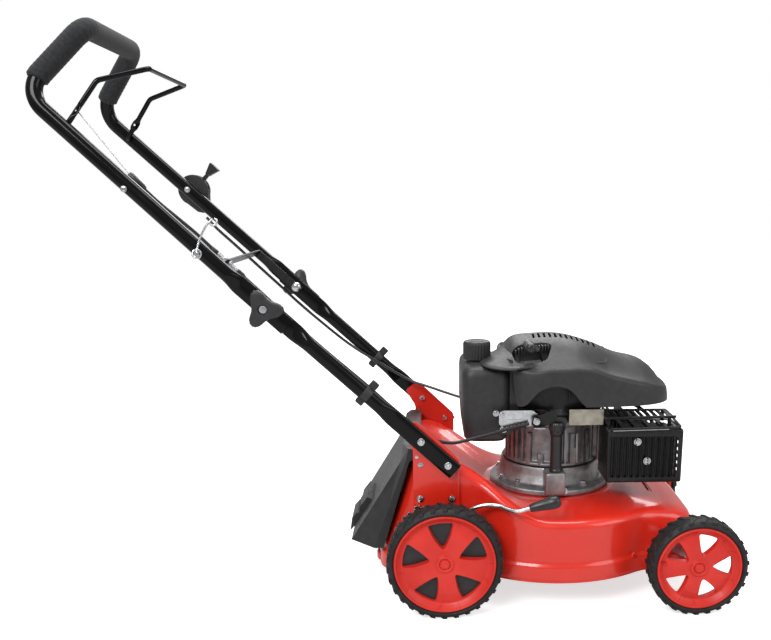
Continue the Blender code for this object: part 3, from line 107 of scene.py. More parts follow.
def make_camera():
    data = bpy.data.cameras.new("camera")
    data.sensor_fit = "HORIZONTAL"
    data.sensor_width = SENSOR_WIDTH
    data.lens = FOCAL_PIXELS * SENSOR_WIDTH / PHOTO_WIDTH
    data.shift_x = (PHOTO_WIDTH / 2 - PHOTO_CENTRE[0]) / PHOTO_WIDTH
    data.shift_y = (PHOTO_CENTRE[1] - PHOTO_HEIGHT / 2) / PHOTO_WIDTH
    data.clip_start = 0.05
    made = bpy.data.objects.new("camera", data)
    bpy.context.scene.collection.objects.link(made)
    level = cos(CAMERA_PITCH)
    forward = Vector((-sin(CAMERA_YAW) * level, cos(CAMERA_YAW) * level, -sin(CAMERA_PITCH)))
    made.location = CAMERA_PLACE + SHIFT
    made.rotation_euler = forward.to_track_quat("-Z", "Y").to_euler()
    bpy.context.scene.camera = made


make_camera()


# ---------------------------------------------------------------- materials


def node(tree, kind, **values):
    made = tree.nodes.new(kind)
    for key, value in values.items():
        setattr(made, key, value)
    return made


def put(shader, values):
    """Set a shader node's sockets by name."""
    for key, value in values.items():
        shader.inputs[key].default_value = value


def noise(tree, place, scale, detail=3.0, rough=0.55):
    made = node(tree, "ShaderNodeTexNoise")
    put(made, {"Scale": scale, "Detail": detail, "Roughness": rough})
    tree.links.new(place, made.inputs["Vector"])
    return made.outputs["Fac"]


def remap(tree, value, low, high, start=0.3, end=0.7):
    made = node(tree, "ShaderNodeMapRange")
    put(made, {"From Min": start, "From Max": end, "To Min": low, "To Max": high})
    tree.links.new(value, made.inputs["Value"])
    return made.outputs["Result"]


def look(name, colour, second, rough, spread, metal=0.0, coat=0.0, coat_rough=0.05, mottle=40.0,
         bumps=((900.0, 0.3, 0.0003),), sheen=0.0, specular=0.5, dust=None):
    """A surface whose colour drifts between two tones and whose gloss and relief vary."""
    made = bpy.data.materials.new(name)
    made.use_nodes = True
    tree = made.node_tree
    shader = tree.nodes["Principled BSDF"]
    put(shader, {"Metallic": metal, "Coat Weight": coat, "Coat Roughness": coat_rough,
                 "Specular IOR Level": specular})
    if sheen:
        put(shader, {"Sheen Weight": sheen, "Sheen Roughness": 0.5})
    place = node(tree, "ShaderNodeTexCoord").outputs["Object"]
    mix = node(tree, "ShaderNodeMix", data_type="RGBA")
    put(mix, {"A": (*colour, 1), "B": (*second, 1)})
    tree.links.new(remap(tree, noise(tree, place, mottle, 5.0), 0.0, 1.0, 0.38, 0.66), mix.inputs["Factor"])
    shade = mix.outputs["Result"]
    if dust:
        tint, amount, scale = dust
        film = node(tree, "ShaderNodeMix", data_type="RGBA")
        put(film, {"B": (*tint, 1)})
        tree.links.new(shade, film.inputs["A"])
        tree.links.new(remap(tree, noise(tree, place, scale, 6.0, 0.7), 0.0, amount, 0.48, 0.72),
                       film.inputs["Factor"])
        shade = film.outputs["Result"]
    tree.links.new(shade, shader.inputs["Base Color"])
    fine = noise(tree, place, mottle * 3.1, 4.0)
    tree.links.new(remap(tree, fine, rough - spread, rough + spread), shader.inputs["Roughness"])
    normal = None
    for scale, strength, distance in bumps:
        bump = node(tree, "ShaderNodeBump")
        put(bump, {"Strength": strength, "Distance": distance})
        tree.links.new(noise(tree, place, scale, 2.0), bump.inputs["Height"])
        if normal:
            tree.links.new(normal, bump.inputs["Normal"])
        normal = bump.outputs["Normal"]
    tree.links.new(normal, shader.inputs["Normal"])
    return made


RED_PAINT = look("red_paint", (0.62, 0.016, 0.006), (0.68, 0.023, 0.009), 0.34, 0.05, coat=0.7,
                 coat_rough=0.1, mottle=9, bumps=((260.0, 0.08, 0.0004), (35.0, 0.05, 0.002)),
                 specular=0.35)
RED_PLASTIC = look("red_plastic", (0.58, 0.02, 0.012), (0.66, 0.03, 0.019), 0.42, 0.06, mottle=25,
                   bumps=((1500.0, 0.1, 0.0002), (60.0, 0.08, 0.001)), specular=0.4)
BLACK_PAINT = look("black_paint", (0.002, 0.002, 0.0023), (0.0038, 0.0038, 0.0042), 0.16, 0.04, coat=0.12,
                   coat_rough=0.06, mottle=18, bumps=((220.0, 0.02, 0.0003),), specular=0.14)
BLACK_PLASTIC = look("black_plastic", (0.012, 0.012, 0.013), (0.018, 0.018, 0.0195), 0.48, 0.07, mottle=60,
                     bumps=((1700.0, 0.32, 0.0003), (700.0, 0.12, 0.0004)))
COWL_PLASTIC = look("cowl_plastic", (0.016, 0.016, 0.017), (0.022, 0.022, 0.0232), 0.46, 0.06, mottle=90,
                    bumps=((1300.0, 0.42, 0.0004), (500.0, 0.16, 0.0005)))
SMOOTH_PLASTIC = look("smooth_plastic", (0.01, 0.01, 0.011), (0.017, 0.017, 0.018), 0.34, 0.06, mottle=40,
                      bumps=((900.0, 0.12, 0.0003),))
RUBBER = look("tyre_rubber", (0.006, 0.006, 0.0065), (0.012, 0.0118, 0.012), 0.58, 0.09, mottle=70,
              bumps=((1100.0, 0.3, 0.0004), (160.0, 0.12, 0.001)), dust=((0.05, 0.047, 0.044), 0.15, 45.0),
              specular=0.35)
FOAM = look("grip_foam", (0.012, 0.0125, 0.0135), (0.022, 0.023, 0.025), 0.85, 0.06, mottle=220,
            bumps=((2400.0, 0.4, 0.0003), (700.0, 0.15, 0.0004)), sheen=0.1, specular=0.3)
ZINC = look("zinc_steel", (0.4, 0.41, 0.43), (0.54, 0.545, 0.56), 0.33, 0.08, metal=1.0, mottle=120,
            bumps=((900.0, 0.12, 0.0003),))
BRIGHT = look("bright_zinc", (0.5, 0.51, 0.53), (0.64, 0.645, 0.66), 0.25, 0.07, metal=1.0, mottle=160,
              bumps=((700.0, 0.08, 0.0002),))
PASSIVATED = look("passivated_plate", (0.34, 0.31, 0.25), (0.46, 0.43, 0.37), 0.4, 0.08, metal=0.9,
                  mottle=70, bumps=((500.0, 0.12, 0.0003),))
CAST = look("cast_alloy", (0.25, 0.25, 0.255), (0.38, 0.38, 0.385), 0.47, 0.1, metal=0.85, mottle=55,
            bumps=((900.0, 0.55, 0.0005), (240.0, 0.25, 0.001)), dust=((0.085, 0.08, 0.075), 0.5, 30.0))
HEATPROOF = look("dark_steel", (0.005, 0.005, 0.0053), (0.011, 0.0105, 0.01), 0.36, 0.1, metal=0.1,
                 coat=0.1, coat_rough=0.3, mottle=80, bumps=((900.0, 0.22, 0.0004),), specular=0.35)
JACKET = look("cable_jacket", (0.006, 0.006, 0.0065), (0.012, 0.012, 0.013), 0.36, 0.08, mottle=90,
              bumps=((1100.0, 0.1, 0.0003),))
GALVANISED = look("wire_steel", (0.34, 0.34, 0.36), (0.48, 0.48, 0.5), 0.36, 0.08, metal=1.0, mottle=300,
                  bumps=((1500.0, 0.2, 0.0002),))
BLADE_STEEL = look("blade_steel", (0.04, 0.04, 0.044), (0.1, 0.1, 0.105), 0.42, 0.1, metal=0.6, mottle=60,
                   bumps=((700.0, 0.25, 0.0004),))
SLOT_LOOKS = {"red_paint": RED_PAINT, "red_plastic": RED_PLASTIC, "black_paint": BLACK_PAINT,
              "black_plastic": BLACK_PLASTIC, "tyre_rubber": RUBBER, "grip_foam": FOAM, "zinc_steel": ZINC,
              "cast_alloy": CAST, "dark_steel": HEATPROOF, "cable_jacket": JACKET}


# ---------------------------------------------------------------- mesh helpers


def solid(bm, name="work"):
    bmesh.ops.recalc_face_normals(bm, faces=bm.faces)
    mesh = bpy.data.meshes.new(name)
    bm.to_mesh(mesh)
    bm.free()
    made = bpy.data.objects.new(name, mesh)
    bpy.context.scene.collection.objects.link(made)
    return made


def settle(obj):
    """Apply an object's modifiers."""
    graph = bpy.context.evaluated_depsgraph_get()
    result = bpy.data.meshes.new_from_object(obj.evaluated_get(graph))
    obj.modifiers.clear()
    obj.data = result
    return obj


def combine(base, tool, operation):
    step = base.modifiers.new("step", "BOOLEAN")
    step.object = tool
    step.operation = operation
    step.solver = "EXACT"
    settle(base)
    bpy.data.objects.remove(tool, do_unlink=True)
    return base


def joined(base, *meshes):
    for bm in meshes:
        combine(base, solid(bm), "UNION")
    return base


def carved(base, *meshes):
    for bm in meshes:
        combine(base, solid(bm), "DIFFERENCE")
    return base


def piece(name, base, surface, body, replaces=(), bevel=0.0, steps=3, angle=30, smooth=40):
    """Finish a bmesh or object as a named piece of the model that rides on a body."""
    if isinstance(base, bmesh.types.BMesh):
        base = solid(base)
    base.name = name
    base.data.name = name
    base.data.transform(Matrix.Translation(SHIFT))
    base.data.shade_smooth()
    if bevel:
        edge = base.modifiers.new("edge", "BEVEL")
        edge.width = bevel
        edge.segments = steps
        edge.limit_method = "ANGLE"
        edge.angle_limit = radians(angle)
        edge.harden_normals = True
        edge.use_clamp_overlap = True
    else:
        base.data.set_sharp_from_angle(angle=radians(smooth))
    base.data.materials.clear()
    base.data.materials.append(surface)
    if body:
        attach(base, body)
    if replaces:
        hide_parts(*replaces)
    return base


def merged(*parts):
    """Several bmeshes in one; they stay separate shells."""
    whole = bmesh.new()
    for part in parts:
        mesh = bpy.data.meshes.new("part")
        bmesh.ops.recalc_face_normals(part, faces=part.faces)
        part.to_mesh(mesh)
        part.free()
        whole.from_mesh(mesh)
        bpy.data.meshes.remove(mesh)
    return whole


def lofted(rings, **options):
    """A new bmesh skinned over rings of points."""
    bm = bmesh.new()
    skin(bm, rings, **options)
    return bm


def walled(obj, thickness, offset=-1):
    """Give an open shell its sheet thickness."""
    wall = obj.modifiers.new("wall", "SOLIDIFY")
    wall.thickness = thickness
    wall.offset = offset
    return settle(obj)


def full_turn(segments):
    return [2 * pi * (i + 0.5) / segments for i in range(segments)]


def over(y):
    """A step sideways across the mower."""
    return Vector((0, y, 0))


def outward(degrees):
    return Vector((cos(radians(degrees)), sin(radians(degrees)), 0))


def skin(bm, rings, closed_path=False, caps=True):
    loops = [[bm.verts.new(point) for point in ring] for ring in rings]
    pairs = list(zip(loops, loops[1:]))
    if closed_path:
        pairs.append((loops[-1], loops[0]))
    count = len(loops[0])
    for first, second in pairs:
        for i in range(count):
            j = (i + 1) % count
            bm.faces.new((first[i], first[j], second[j], second[i]))
    if caps and not closed_path:
        bm.faces.new(loops[0])
        bm.faces.new(reversed(loops[-1]))
    return loops


def box(low, high, bevel=0.0, segments=3):
    bm = bmesh.new()
    size = Vector(high) - Vector(low)
    middle = (Vector(high) + Vector(low)) / 2
    bmesh.ops.create_cube(bm, size=1.0, matrix=Matrix.Translation(middle) @ Matrix.Diagonal((*size, 1)))
    if bevel:
        bmesh.ops.bevel(bm, geom=bm.edges, offset=bevel, segments=segments, affect="EDGES", profile=0.5)
    return bm


def turned(profile, base=(0, 0, 0), axis=(0, 0, 1), segments=64, wobble=None):
    """Turn an outline of (radius, height) points about an axis; a first radius of 0 makes a solid."""
    bm = bmesh.new()
    turn = Vector((0, 0, 1)).rotation_difference(Vector(axis)).to_matrix()
    base = Vector(base)

    def place(radius, height, angle):
        if wobble:
            radius = wobble(radius, height, angle)
        return base + turn @ Vector((radius * cos(angle), radius * sin(angle), height))

    angles = full_turn(segments)
    if profile[0][0] != 0:
        skin(bm, [[place(r, h, a) for r, h in profile] for a in angles], closed_path=True)
        return bm
    rings = [[place(r, h, a) for a in angles] for r, h in profile[1:-1]]
    loops = skin(bm, rings, caps=False)
    for (radius, height), loop in ((profile[0], loops[0]), (profile[-1], loops[-1])):
        tip = bm.verts.new(base + turn @ Vector((0, 0, height)))
        for i in range(segments):
            bm.faces.new((loop[i], loop[(i + 1) % segments], tip))
    return bm


def mm(*points):
    """A table of points written in millimetres, in metres."""
    return [tuple(round(value / 1000, 7) for value in point) for point in points]


def rounded_profile(points, radius, steps=4, closed=False):
    """Round the corners of a 2-D outline; radius is one number or one for each corner."""
    count = len(points)
    radii = radius if isinstance(radius, (list, tuple)) else [radius] * count
    result = []
    for i in range(count):
        here = Vector(points[i])
        if not closed and i in (0, count - 1):
            result.append(tuple(here))
            continue
        before, after = Vector(points[i - 1]), Vector(points[(i + 1) % count])
        a, b = before - here, after - here
        reach = min(radii[i], a.length * 0.48, b.length * 0.48)
        if reach < 1e-6:
            result.append(tuple(here))
            continue
        start, end = here + a.normalized() * reach, here + b.normalized() * reach
        for k in range(steps + 1):
            t = k / steps
            result.append(tuple(start * (1 - t) ** 2 + here * 2 * t * (1 - t) + end * t * t))
    return result


def rounded_loop(points, radius, steps):
    return rounded_profile(points, radius, steps, closed=True)


def rod(start, end, radius, segments=24, edge=0.0):
    start, end = Vector(start), Vector(end)
    length = (end - start).length
    if edge:
        outline = [(0, 0), (radius - edge, 0), (radius - edge * 0.3, edge * 0.3), (radius, edge),
                   (radius, length - edge), (radius - edge * 0.3, length - edge * 0.3),
                   (radius - edge, length), (0, length)]
    else:
        outline = [(0, 0), (radius, 0), (radius, length), (0, length)]
    return turned(outline, start, end - start, segments)


def prism(outline, low, high, axis="Y"):
    place = {"Y": lambda p, t: Vector((p[0], t, p[1])), "Z": lambda p, t: Vector((p[0], p[1], t)),
             "X": lambda p, t: Vector((t, p[0], p[1]))}[axis]
    return lofted([[place(p, low) for p in outline], [place(p, high) for p in outline]])


def arc(centre, radius, start, end, steps):
    turns = [radians(start + (end - start) * i / steps) for i in range(steps + 1)]
    return [(centre[0] + radius * cos(a), centre[1] + radius * sin(a)) for a in turns]


def filleted(corners, radii, steps=12):
    corners = [Vector(c) for c in corners]
    path = [corners[0]]
    for before, corner, after, radius in zip(corners, corners[1:], corners[2:], radii):
        into = (corner - before).normalized()
        out = (after - corner).normalized()
        bend = into.angle(out)
        reach = radius * abs(sin(bend / 2) / cos(bend / 2))
        centre = corner + (out - into).normalized() * hypot(radius, reach)
        first = corner - into * reach - centre
        plane = into.cross(out).normalized()
        for i in range(steps + 1):
            path.append(centre + Matrix.Rotation(bend * i / steps, 3, plane) @ first)
    path.append(corners[-1])
    return path


def smooth_route(points, spacing):
    points = [Vector(p) for p in points]
    ends = [2 * points[0] - points[1], *points, 2 * points[-1] - points[-2]]
    route = []
    for p0, p1, p2, p3 in zip(ends, ends[1:], ends[2:], ends[3:]):
        t1 = (p1 - p0).length ** 0.5
        t2 = t1 + (p2 - p1).length ** 0.5
        t3 = t2 + (p3 - p2).length ** 0.5
        steps = max(1, ceil((p2 - p1).length / spacing))
        for i in range(steps):
            t = t1 + (t2 - t1) * i / steps
            a1 = p0.lerp(p1, t / t1)
            a2 = p1.lerp(p2, (t - t1) / (t2 - t1))
            a3 = p2.lerp(p3, (t - t2) / (t3 - t2))
            b1 = a1.lerp(a2, t / t2)
            b2 = a2.lerp(a3, (t - t1) / (t3 - t1))
            route.append(b1.lerp(b2, (t - t1) / (t2 - t1)))
    route.append(points[-1])
    return route


def frames(path, normal):
    normal = Vector(normal)
    result = []
    for i, point in enumerate(path):
        tangent = (path[min(i + 1, len(path) - 1)] - path[max(i - 1, 0)]).normalized()
        normal = (normal - tangent * normal.dot(tangent)).normalized()
        result.append((point, normal.copy(), tangent.cross(normal)))
    return result


def swept(path, normal, section, sides=24, bore=0.0, power=2.0):
    """Sweep a (super)ellipse along a path; section(i, length so far) gives its half sizes."""
    lengths = [0.0]
    for a, b in zip(path, path[1:]):
        lengths.append(lengths[-1] + (b - a).length)
    outer, inner = [], []
    for i, (point, across, up) in enumerate(frames(path, normal)):
        wide, high = section(i, lengths[i])
        ring, hole = [], []
        for k in range(sides):
            angle = 2 * pi * (k + 0.5) / sides
            c, s = cos(angle), sin(angle)
            if power != 2.0:
                c = abs(c) ** (2 / power) * (1 if c > 0 else -1)
                s = abs(s) ** (2 / power) * (1 if s > 0 else -1)
            ring.append(point + across * wide * c + up * high * s)
            hole.append(point + across * (wide - bore) * c + up * (high - bore) * s)
        outer.append(ring)
        inner.append(hole)
    if not bore:
        return lofted(outer)
    bm = bmesh.new()
    outside, inside = skin(bm, outer, caps=False), skin(bm, inner, caps=False)
    for k in range(sides):
        j = (k + 1) % sides
        bm.faces.new((outside[0][k], outside[0][j], inside[0][j], inside[0][k]))
        bm.faces.new((outside[-1][k], outside[-1][j], inside[-1][j], inside[-1][k]))
    return bm


def tube(path, radius, sides=20, normal=(0.123, 1.0, 0.077)):
    return swept(path, normal, lambda i, length: (radius, radius), sides)


def smoothstep(value):
    value = min(max(value, 0.0), 1.0)
    return value * value * (3 - 2 * value)


def mirrored(path):
    return [Vector((p.x, -p.y, p.z)) for p in reversed(path)]


def evenly(path, spacing):
    """The same path with extra points on its long straight runs."""
    result = []
    for a, b in zip(path, path[1:]):
        steps = max(1, ceil((b - a).length / spacing))
        result += [a.lerp(b, i / steps) for i in range(steps)]
    result.append(path[-1])
    return result


def hexagon(base, axis, across, height, turn=0.0, dome=0.0):
    """A hexagonal nut or bolt head with chamfered corners."""
    radius = across / 2 / cos(pi / 6)

    def corner(r, h, a):
        step = (a + turn) % (pi / 3) - pi / 6
        flat = across / 2 / cos(step)
        return min(r, flat) if r <= radius else flat

    cut = height * 0.18
    low = across / 2 * 1.02
    outline = [(0, 0), (low, 0), (radius * 1.001, cut), (radius * 1.001, height - cut), (low, height),
               (low * 0.7, height + dome * 0.6), (0, height + dome)]
    return turned(outline, base, axis, 36, wobble=corner)


def screw_head(base, axis, radius, height):
    """A domed cross-recess screw head on its washer."""
    axis = Vector(axis).normalized()
    base = Vector(base)
    outline = [(0, 0), (radius * 1.25, 0), (radius * 1.32, 0.0002), (radius * 1.3, 0.0008),
               (radius * 1.02, 0.0009), (radius, 0.0012), (radius * 0.98, height * 0.55),
               (radius * 0.85, height * 0.82), (radius * 0.6, height * 0.95), (0, height)]
    head = solid(turned(outline, base, axis, 40))
    side = axis.orthogonal().normalized()
    turn = Matrix.Rotation(0.5, 3, axis)
    side = turn @ side
    other = axis.cross(side)
    for a, b in ((side, other), (other, side)):
        low = base + axis * height * 0.55
        ring = [low + a * radius * 0.5 * u + b * radius * 0.11 * v
                for u, v in ((-1, -1), (1, -1), (1, 1), (-1, 1))]
        top = [p + axis * height for p in ring]
        bm = lofted([ring, top])
        carved(head, bm)
    return head


def from_object(obj):
    bm = bmesh.new()
    bm.from_mesh(obj.data)
    bpy.data.objects.remove(obj, do_unlink=True)
    return bm


def screws(name, places, radius, height, body, surface=BRIGHT):
    """A set of cross-recess screws: places are (point, axis)."""
    heads = [from_object(screw_head(point, axis, radius, height)) for point, axis in places]
    return piece(name, merged(*heads), surface, body, bevel=0.00015, steps=2)


def nuts(name, places, across, height, body, stud):
    """A set of flange nuts on stud ends: places are (point, axis)."""
    parts = []
    for k, (point, axis) in enumerate(places):
        axis = Vector(axis).normalized()
        point = Vector(point)
        parts.append(turned([(0, 0), (across * 0.62, 0), (across * 0.64, 0.0004), (across * 0.6, 0.001),
                             (0, 0.0012)], point, axis, 36))
        parts.append(hexagon(point + axis * 0.0008, axis, across, height, turn=0.4 + 0.7 * k, dome=0.0003))
        parts.append(thread(point + axis * height * 0.8, axis, stud, height * 0.45 + 0.0035))
    return piece(name, merged(*parts), BRIGHT, body, bevel=0.00012, steps=2)


def thread(base, axis, radius, length, pitch=0.0008):
    turns = int(length / pitch)
    outline = [(0, 0)]
    for k in range(turns):
        outline.append((radius * 0.88, pitch * k))
        outline.append((radius, pitch * (k + 0.5)))
    outline += [(radius * 0.86, length), (0, length)]
    return turned(outline, base, axis, 20)


# ---------------------------------------------------------------- deck


def oblong_radius(angle, front, rear, half_width, power):
    reach = front if cos(angle) > 0 else rear
    return ((abs(cos(angle)) / reach) ** power + (abs(sin(angle)) / half_width) ** power) ** (-1 / power)


def deck_radius(angle, front, rear, half_width, chamber):
    body = oblong_radius(angle, front, rear, half_width, 9)
    return (body ** 30 + chamber ** 30) ** (1 / 30)


def deck_section(angle):
    """The deck's outer surface at one angle as a smooth line of (radius, height)."""
    top_radius = deck_radius(angle, 0.186, 0.226, 0.138, 0.188)
    side_radius = deck_radius(angle, 0.238, 0.236, 0.15, 0.2)
    low_radius = deck_radius(angle, 0.24, 0.288, 0.15, 0.2)
    lift_start = 0.1475 - 0.0175 * max(-1.0, min(1.0, 2 * sin(angle)))
    rear_lift = smoothstep((lift_start - (ENGINE_X + top_radius * cos(angle))) / 0.17)
    shoulder = 0.148 + 0.087 * rear_lift
    nose = smoothstep((cos(angle) - 0.62) / 0.3)
    side_top = shoulder - 0.01 - 0.046 * nose
    low = 0.08
    middle = (top_radius + 2 * side_radius) / 3
    corners = [*mm((30, 156), (104.5, 156), (113, 157.2)), (top_radius, shoulder),
               (middle, shoulder - (0.3 - 0.06 * nose) * (shoulder - side_top)), (side_radius, side_top),
               (low_radius, low), (low_radius + 0.0045, low - 0.006), (low_radius + 0.005, 0.054),
               (low_radius + 0.0035, 0.05)]
    return rounded_profile(corners, [0, 0.003, 0.006, 0.012, 0.008, 0.008, 0.004, 0.003, 0.002, 0], 5)


def round_engine(sections, angles):
    """Rings round the engine's shaft from a line of (radius, height) for each angle."""
    return [[Vector((ENGINE_X + line[k][0] * cos(a), line[k][0] * sin(a), line[k][1]))
             for line, a in zip(sections, angles)] for k in range(len(sections[0]))]


def build_deck():
    segments = 240
    angles = full_turn(segments)
    sections = [deck_section(a) for a in angles]
    rings = round_engine(sections, angles)
    deck = solid(lofted(rings, caps=False))
    walled(deck, SHEET)
    carved(deck, box((-0.15, -0.096, 0.106), (-0.02, 0.096, 0.198), 0.012, 5))
    for pivot in (REAR_PIVOT, FRONT_PIVOT):
        carved(deck, rod(pivot - over(0.25), pivot + over(0.25), 0.0047, 24))
    carved(deck, box((0.348, -0.06, 0.148), (0.356, 0.06, 0.16), 0.0015, 2))
    piece("deck_shell", deck, RED_PAINT, "chassis", ["deck"], bevel=0.0006, steps=2, angle=50)
    seam = rounded_loop(mm((-4, -1.6), (4, -1.6), (4, 1.6), (-4, 1.6)), 0.0012, 3)
    rolled = []
    for i, angle in enumerate(angles):
        r, z = sections[i][-1]
        out = Vector((cos(angle), sin(angle), 0))
        centre = Vector((ENGINE_X, 0, z)) + out * (r - 0.0008)
        rolled.append([centre + out * dx * 0.4 + Vector((0, 0, dz)) for dx, dz in seam])
    hem = lofted(rolled, closed_path=True)
    piece("deck_hem", hem, RED_PAINT, "chassis")
    places = [(Vector((0.303, side * 0.1668, 0.079)), (0.35, side, 0)) for _, side in SIDES]
    screws("deck_side_screws", places, 0.0042, 0.0026, "chassis", RED_PAINT)
    tab = rounded_loop(mm((-80, -118), (-110.5, -112), (-110.5, 112), (-80, 118)), 0.012, 8)
    piece("deck_rear_tab", prism(tab, 0.051, 0.069, "Z"), RED_PAINT, "chassis", bevel=0.006, steps=6)


build_deck()


# ---------------------------------------------------------------- brackets


def build_brackets():
    outline = mm((-48, 150), (24, 150), (24, 238), (-30, 289), (-45, 300), (-66, 284), (-48, 254))
    for name, side in SIDES:
        near, far = sorted((side * 0.1503, side * 0.1528))
        plate = solid(prism(rounded_loop(outline, 0.005, 5), near, far))
        edge, tip = sorted((side * 0.151, side * 0.1562))
        flange = mm((21.6, 152), (24, 152), (24, 232), (21.6, 232))
        joined(plate, prism(flange, edge, tip))
        back = mm((-48, 152), (-45.8, 152), (-45.8, 250), (-48, 250))
        joined(plate, prism(back, *sorted((side * 0.152, side * 0.1415))))
        bead, crest = sorted((side * 0.152, side * 0.1546))
        ridge = rounded_loop(mm((9.5, 186), (13, 186), (13, 212), (9.5, 212)), 0.0016, 4)
        joined(plate, prism(ridge, bead, crest))
        piece(f"bracket_{name}", plate, RED_PAINT, "chassis", [f"handle_bracket_{name}"], bevel=0.0007,
              steps=3)
        face = side * 0.1529
        low = [(Vector((-0.037, face, 0.1735)), (0, side, 0)),
               (Vector((0.0127, face, 0.1725)), (0, side, 0))]
        screws(f"bracket_screws_{name}", low, 0.0046, 0.0032, "chassis")
        rivet = turned(mm((0, 0), (4.5, 0), (4.3, 0.7), (2.6, 1.2), (2.2, 2.2), (0, 2.6)),
                       Vector((-0.0364, face, 0.229)), (0, side, 0), 32)
        piece(f"bracket_rivet_{name}", rivet, ZINC, "chassis")
        outer = side * (LOWER_Y + 0.0042)
        high = [(Vector((x, outer, z)), (0, side, 0)) for x, z in HANDLE_BOLTS]
        nuts(f"handle_nuts_{name}", high, 0.0092, 0.0045, "chassis", STUD)
        inner = side * 0.15
        heads = [hexagon(Vector((x, inner, z)), (0, -side, 0), 0.009, 0.0036, dome=0.0004)
                 for x, z in HANDLE_BOLTS]
        piece(f"handle_bolt_heads_{name}", merged(*heads), BRIGHT, "chassis", bevel=0.00015, steps=2)


build_brackets()


# ---------------------------------------------------------------- handle


FLAT_HALF = 0.004


def pressed(spans, flat_width, ease):
    """Section of a tube pressed flat inside the spans of length."""

    def section(i, here):
        share = 0.0
        for start, end in spans:
            share = max(share, smoothstep(min(here - start, end - here) / ease + 1))
        return TUBE + (FLAT_HALF - TUBE) * share, TUBE + (flat_width / 2 - TUBE) * share

    return section


def build_lower_handles():
    for name, side in SIDES:
        top = FOLD - LOWER_RUN * 0.03 + over(side * LOWER_Y)
        bottom = Vector((0.0175, side * LOWER_Y, 0.219))
        total = (bottom - top).length
        path = evenly([top, bottom], 0.003)
        section = pressed(((-0.1, 0.084), (total - 0.128, total + 0.1)), 0.0275, ease=0.03)
        handle = solid(swept(path, (0, 1, 0), section, 40, 0.0016, 2.6))
        reach = over(0.03)
        for x, z, radius in ((FOLD.x, FOLD.z, BOLT_HOLE), *((a, b, 0.0031) for a, b in HANDLE_BOLTS)):
            middle = Vector((x, side * LOWER_Y, z))
            carved(handle, rod(middle - reach, middle + reach, radius))
        piece(f"lower_tube_{name}", handle, BLACK_PAINT, "chassis", [f"lower_handle_{name}"], bevel=0.0005,
              steps=2, angle=45)


def upper_path():
    back = HANDLE_RUN
    end = FOLD - back * 0.042 + over(-UPPER_Y)
    fold = FOLD + over(-UPPER_Y)
    bend = Vector((-0.584, -0.15, 0.7775))
    corner = Vector((-0.507, -0.108, 0.87))
    flat_end = fold + back * 0.052
    right = filleted([flat_end, bend, corner, Vector((corner.x, 0, corner.z))], [0.038, 0.03], 14)
    right = evenly([end, flat_end], 0.003)[:-1] + evenly(right[:-1], 0.004)
    return right + mirrored(right)


def build_upper_handle():
    path = upper_path()
    total = sum((b - a).length for a, b in zip(path, path[1:]))
    section = pressed(((-0.1, 0.09), (total - 0.09, total + 0.1)), 0.0275, ease=0.024)
    handle = solid(swept(path, (0, 1, 0), section, 40, 0.0016, 2.3))
    reach = over(0.03)
    for _, side in SIDES:
        middle = FOLD + over(side * UPPER_Y)
        carved(handle, rod(middle - reach, middle + reach, BOLT_HOLE))
        carved(handle, rod(BAIL_PIVOT + over(side * 0.13), BAIL_PIVOT + over(side * 0.151), BOLT_HOLE))
    piece("upper_tube", handle, BLACK_PAINT, "upper_handle", ["upper_handle"], bevel=0.0004, steps=2,
          angle=45)
    grip = [p for p in path if p.z > 0.7935]
    length = sum((b - a).length for a, b in zip(grip, grip[1:]))

    def swell(i, here):
        edge = min(here, length - here)
        size = 0.0153 - 0.0022 * (1 - smoothstep(edge / 0.0025)) + 0.00012 * sin(here * 900)
        return size, size

    piece("foam_grip", swept(evenly(grip, 0.0012), (0.3, 0.2, 1), swell, 48, 0.004), FOAM, "upper_handle",
          ["grip_sleeve"], smooth=60)


def lobed(angle):
    return (0.5 + 0.5 * cos(3 * angle)) ** 1.5


def build_knobs():
    for name, side in SIDES:
        face_y = UPPER_Y + 0.0042
        layers = ((0.0, 0.0, 0.012), (0.0022, 0.0, 0.0126), (0.004, 0.1, 0.0136), (0.0052, 0.8, 0.0158),
                  (0.0066, 0.97, 0.0166), (0.0145, 1.0, 0.0168), (0.0168, 0.95, 0.016),
                  (0.0178, 0.84, 0.0146), (0.018, 0.7, 0.0125))
        rings = []
        samples = 96
        turn = radians(115) if side < 0 else radians(78)
        for height, share, core in layers:
            ring = []
            for k in range(samples):
                angle = 2 * pi * k / samples
                radius = core + 0.0132 * share * lobed(angle)
                if share > 0.5:
                    radius += 0.00035 * cos(angle * 36) * lobed(angle)
                ring.append(FOLD + Vector((radius * cos(angle + turn), side * (face_y + height),
                                           radius * sin(angle + turn))))
            rings.append(ring)
        knob = solid(lofted(rings))
        base = FOLD + over(side * face_y)
        out = over(side)
        carved(knob, turned([(0, 0), (0.0072, 0), (0.0078, 0.006), (0, 0.006)], base + out * 0.015, out,
                            32))
        piece(f"knob_{name}", knob, BLACK_PLASTIC, f"star_knob_{name}", [f"star_knob_{name}"], bevel=0.0006,
              steps=2, angle=40)
        insert = merged(hexagon(base + out * 0.013, out, 0.011, 0.003, dome=0.0003))
        piece(f"knob_insert_{name}", insert, ZINC, f"star_knob_{name}", bevel=0.00015, steps=2)
        head_y = LOWER_Y - 0.004 - (0.0034 if side > 0 else 0.0002)
        start = FOLD + over(side * head_y)
        dome = turned([(0, -0.0046), (0.0038, -0.0042), (0.0068, -0.0028), (0.0086, -0.0008), (0.0088, 0),
                       (0.0039, 0), (0.0039, UPPER_Y + 0.018 - head_y), (0, UPPER_Y + 0.018 - head_y)],
                      start, (0, side, 0), 40)
        piece(f"fold_bolt_shank_{name}", dome, BRIGHT, "upper_handle", [f"fold_bolt_{name}"], smooth=30)


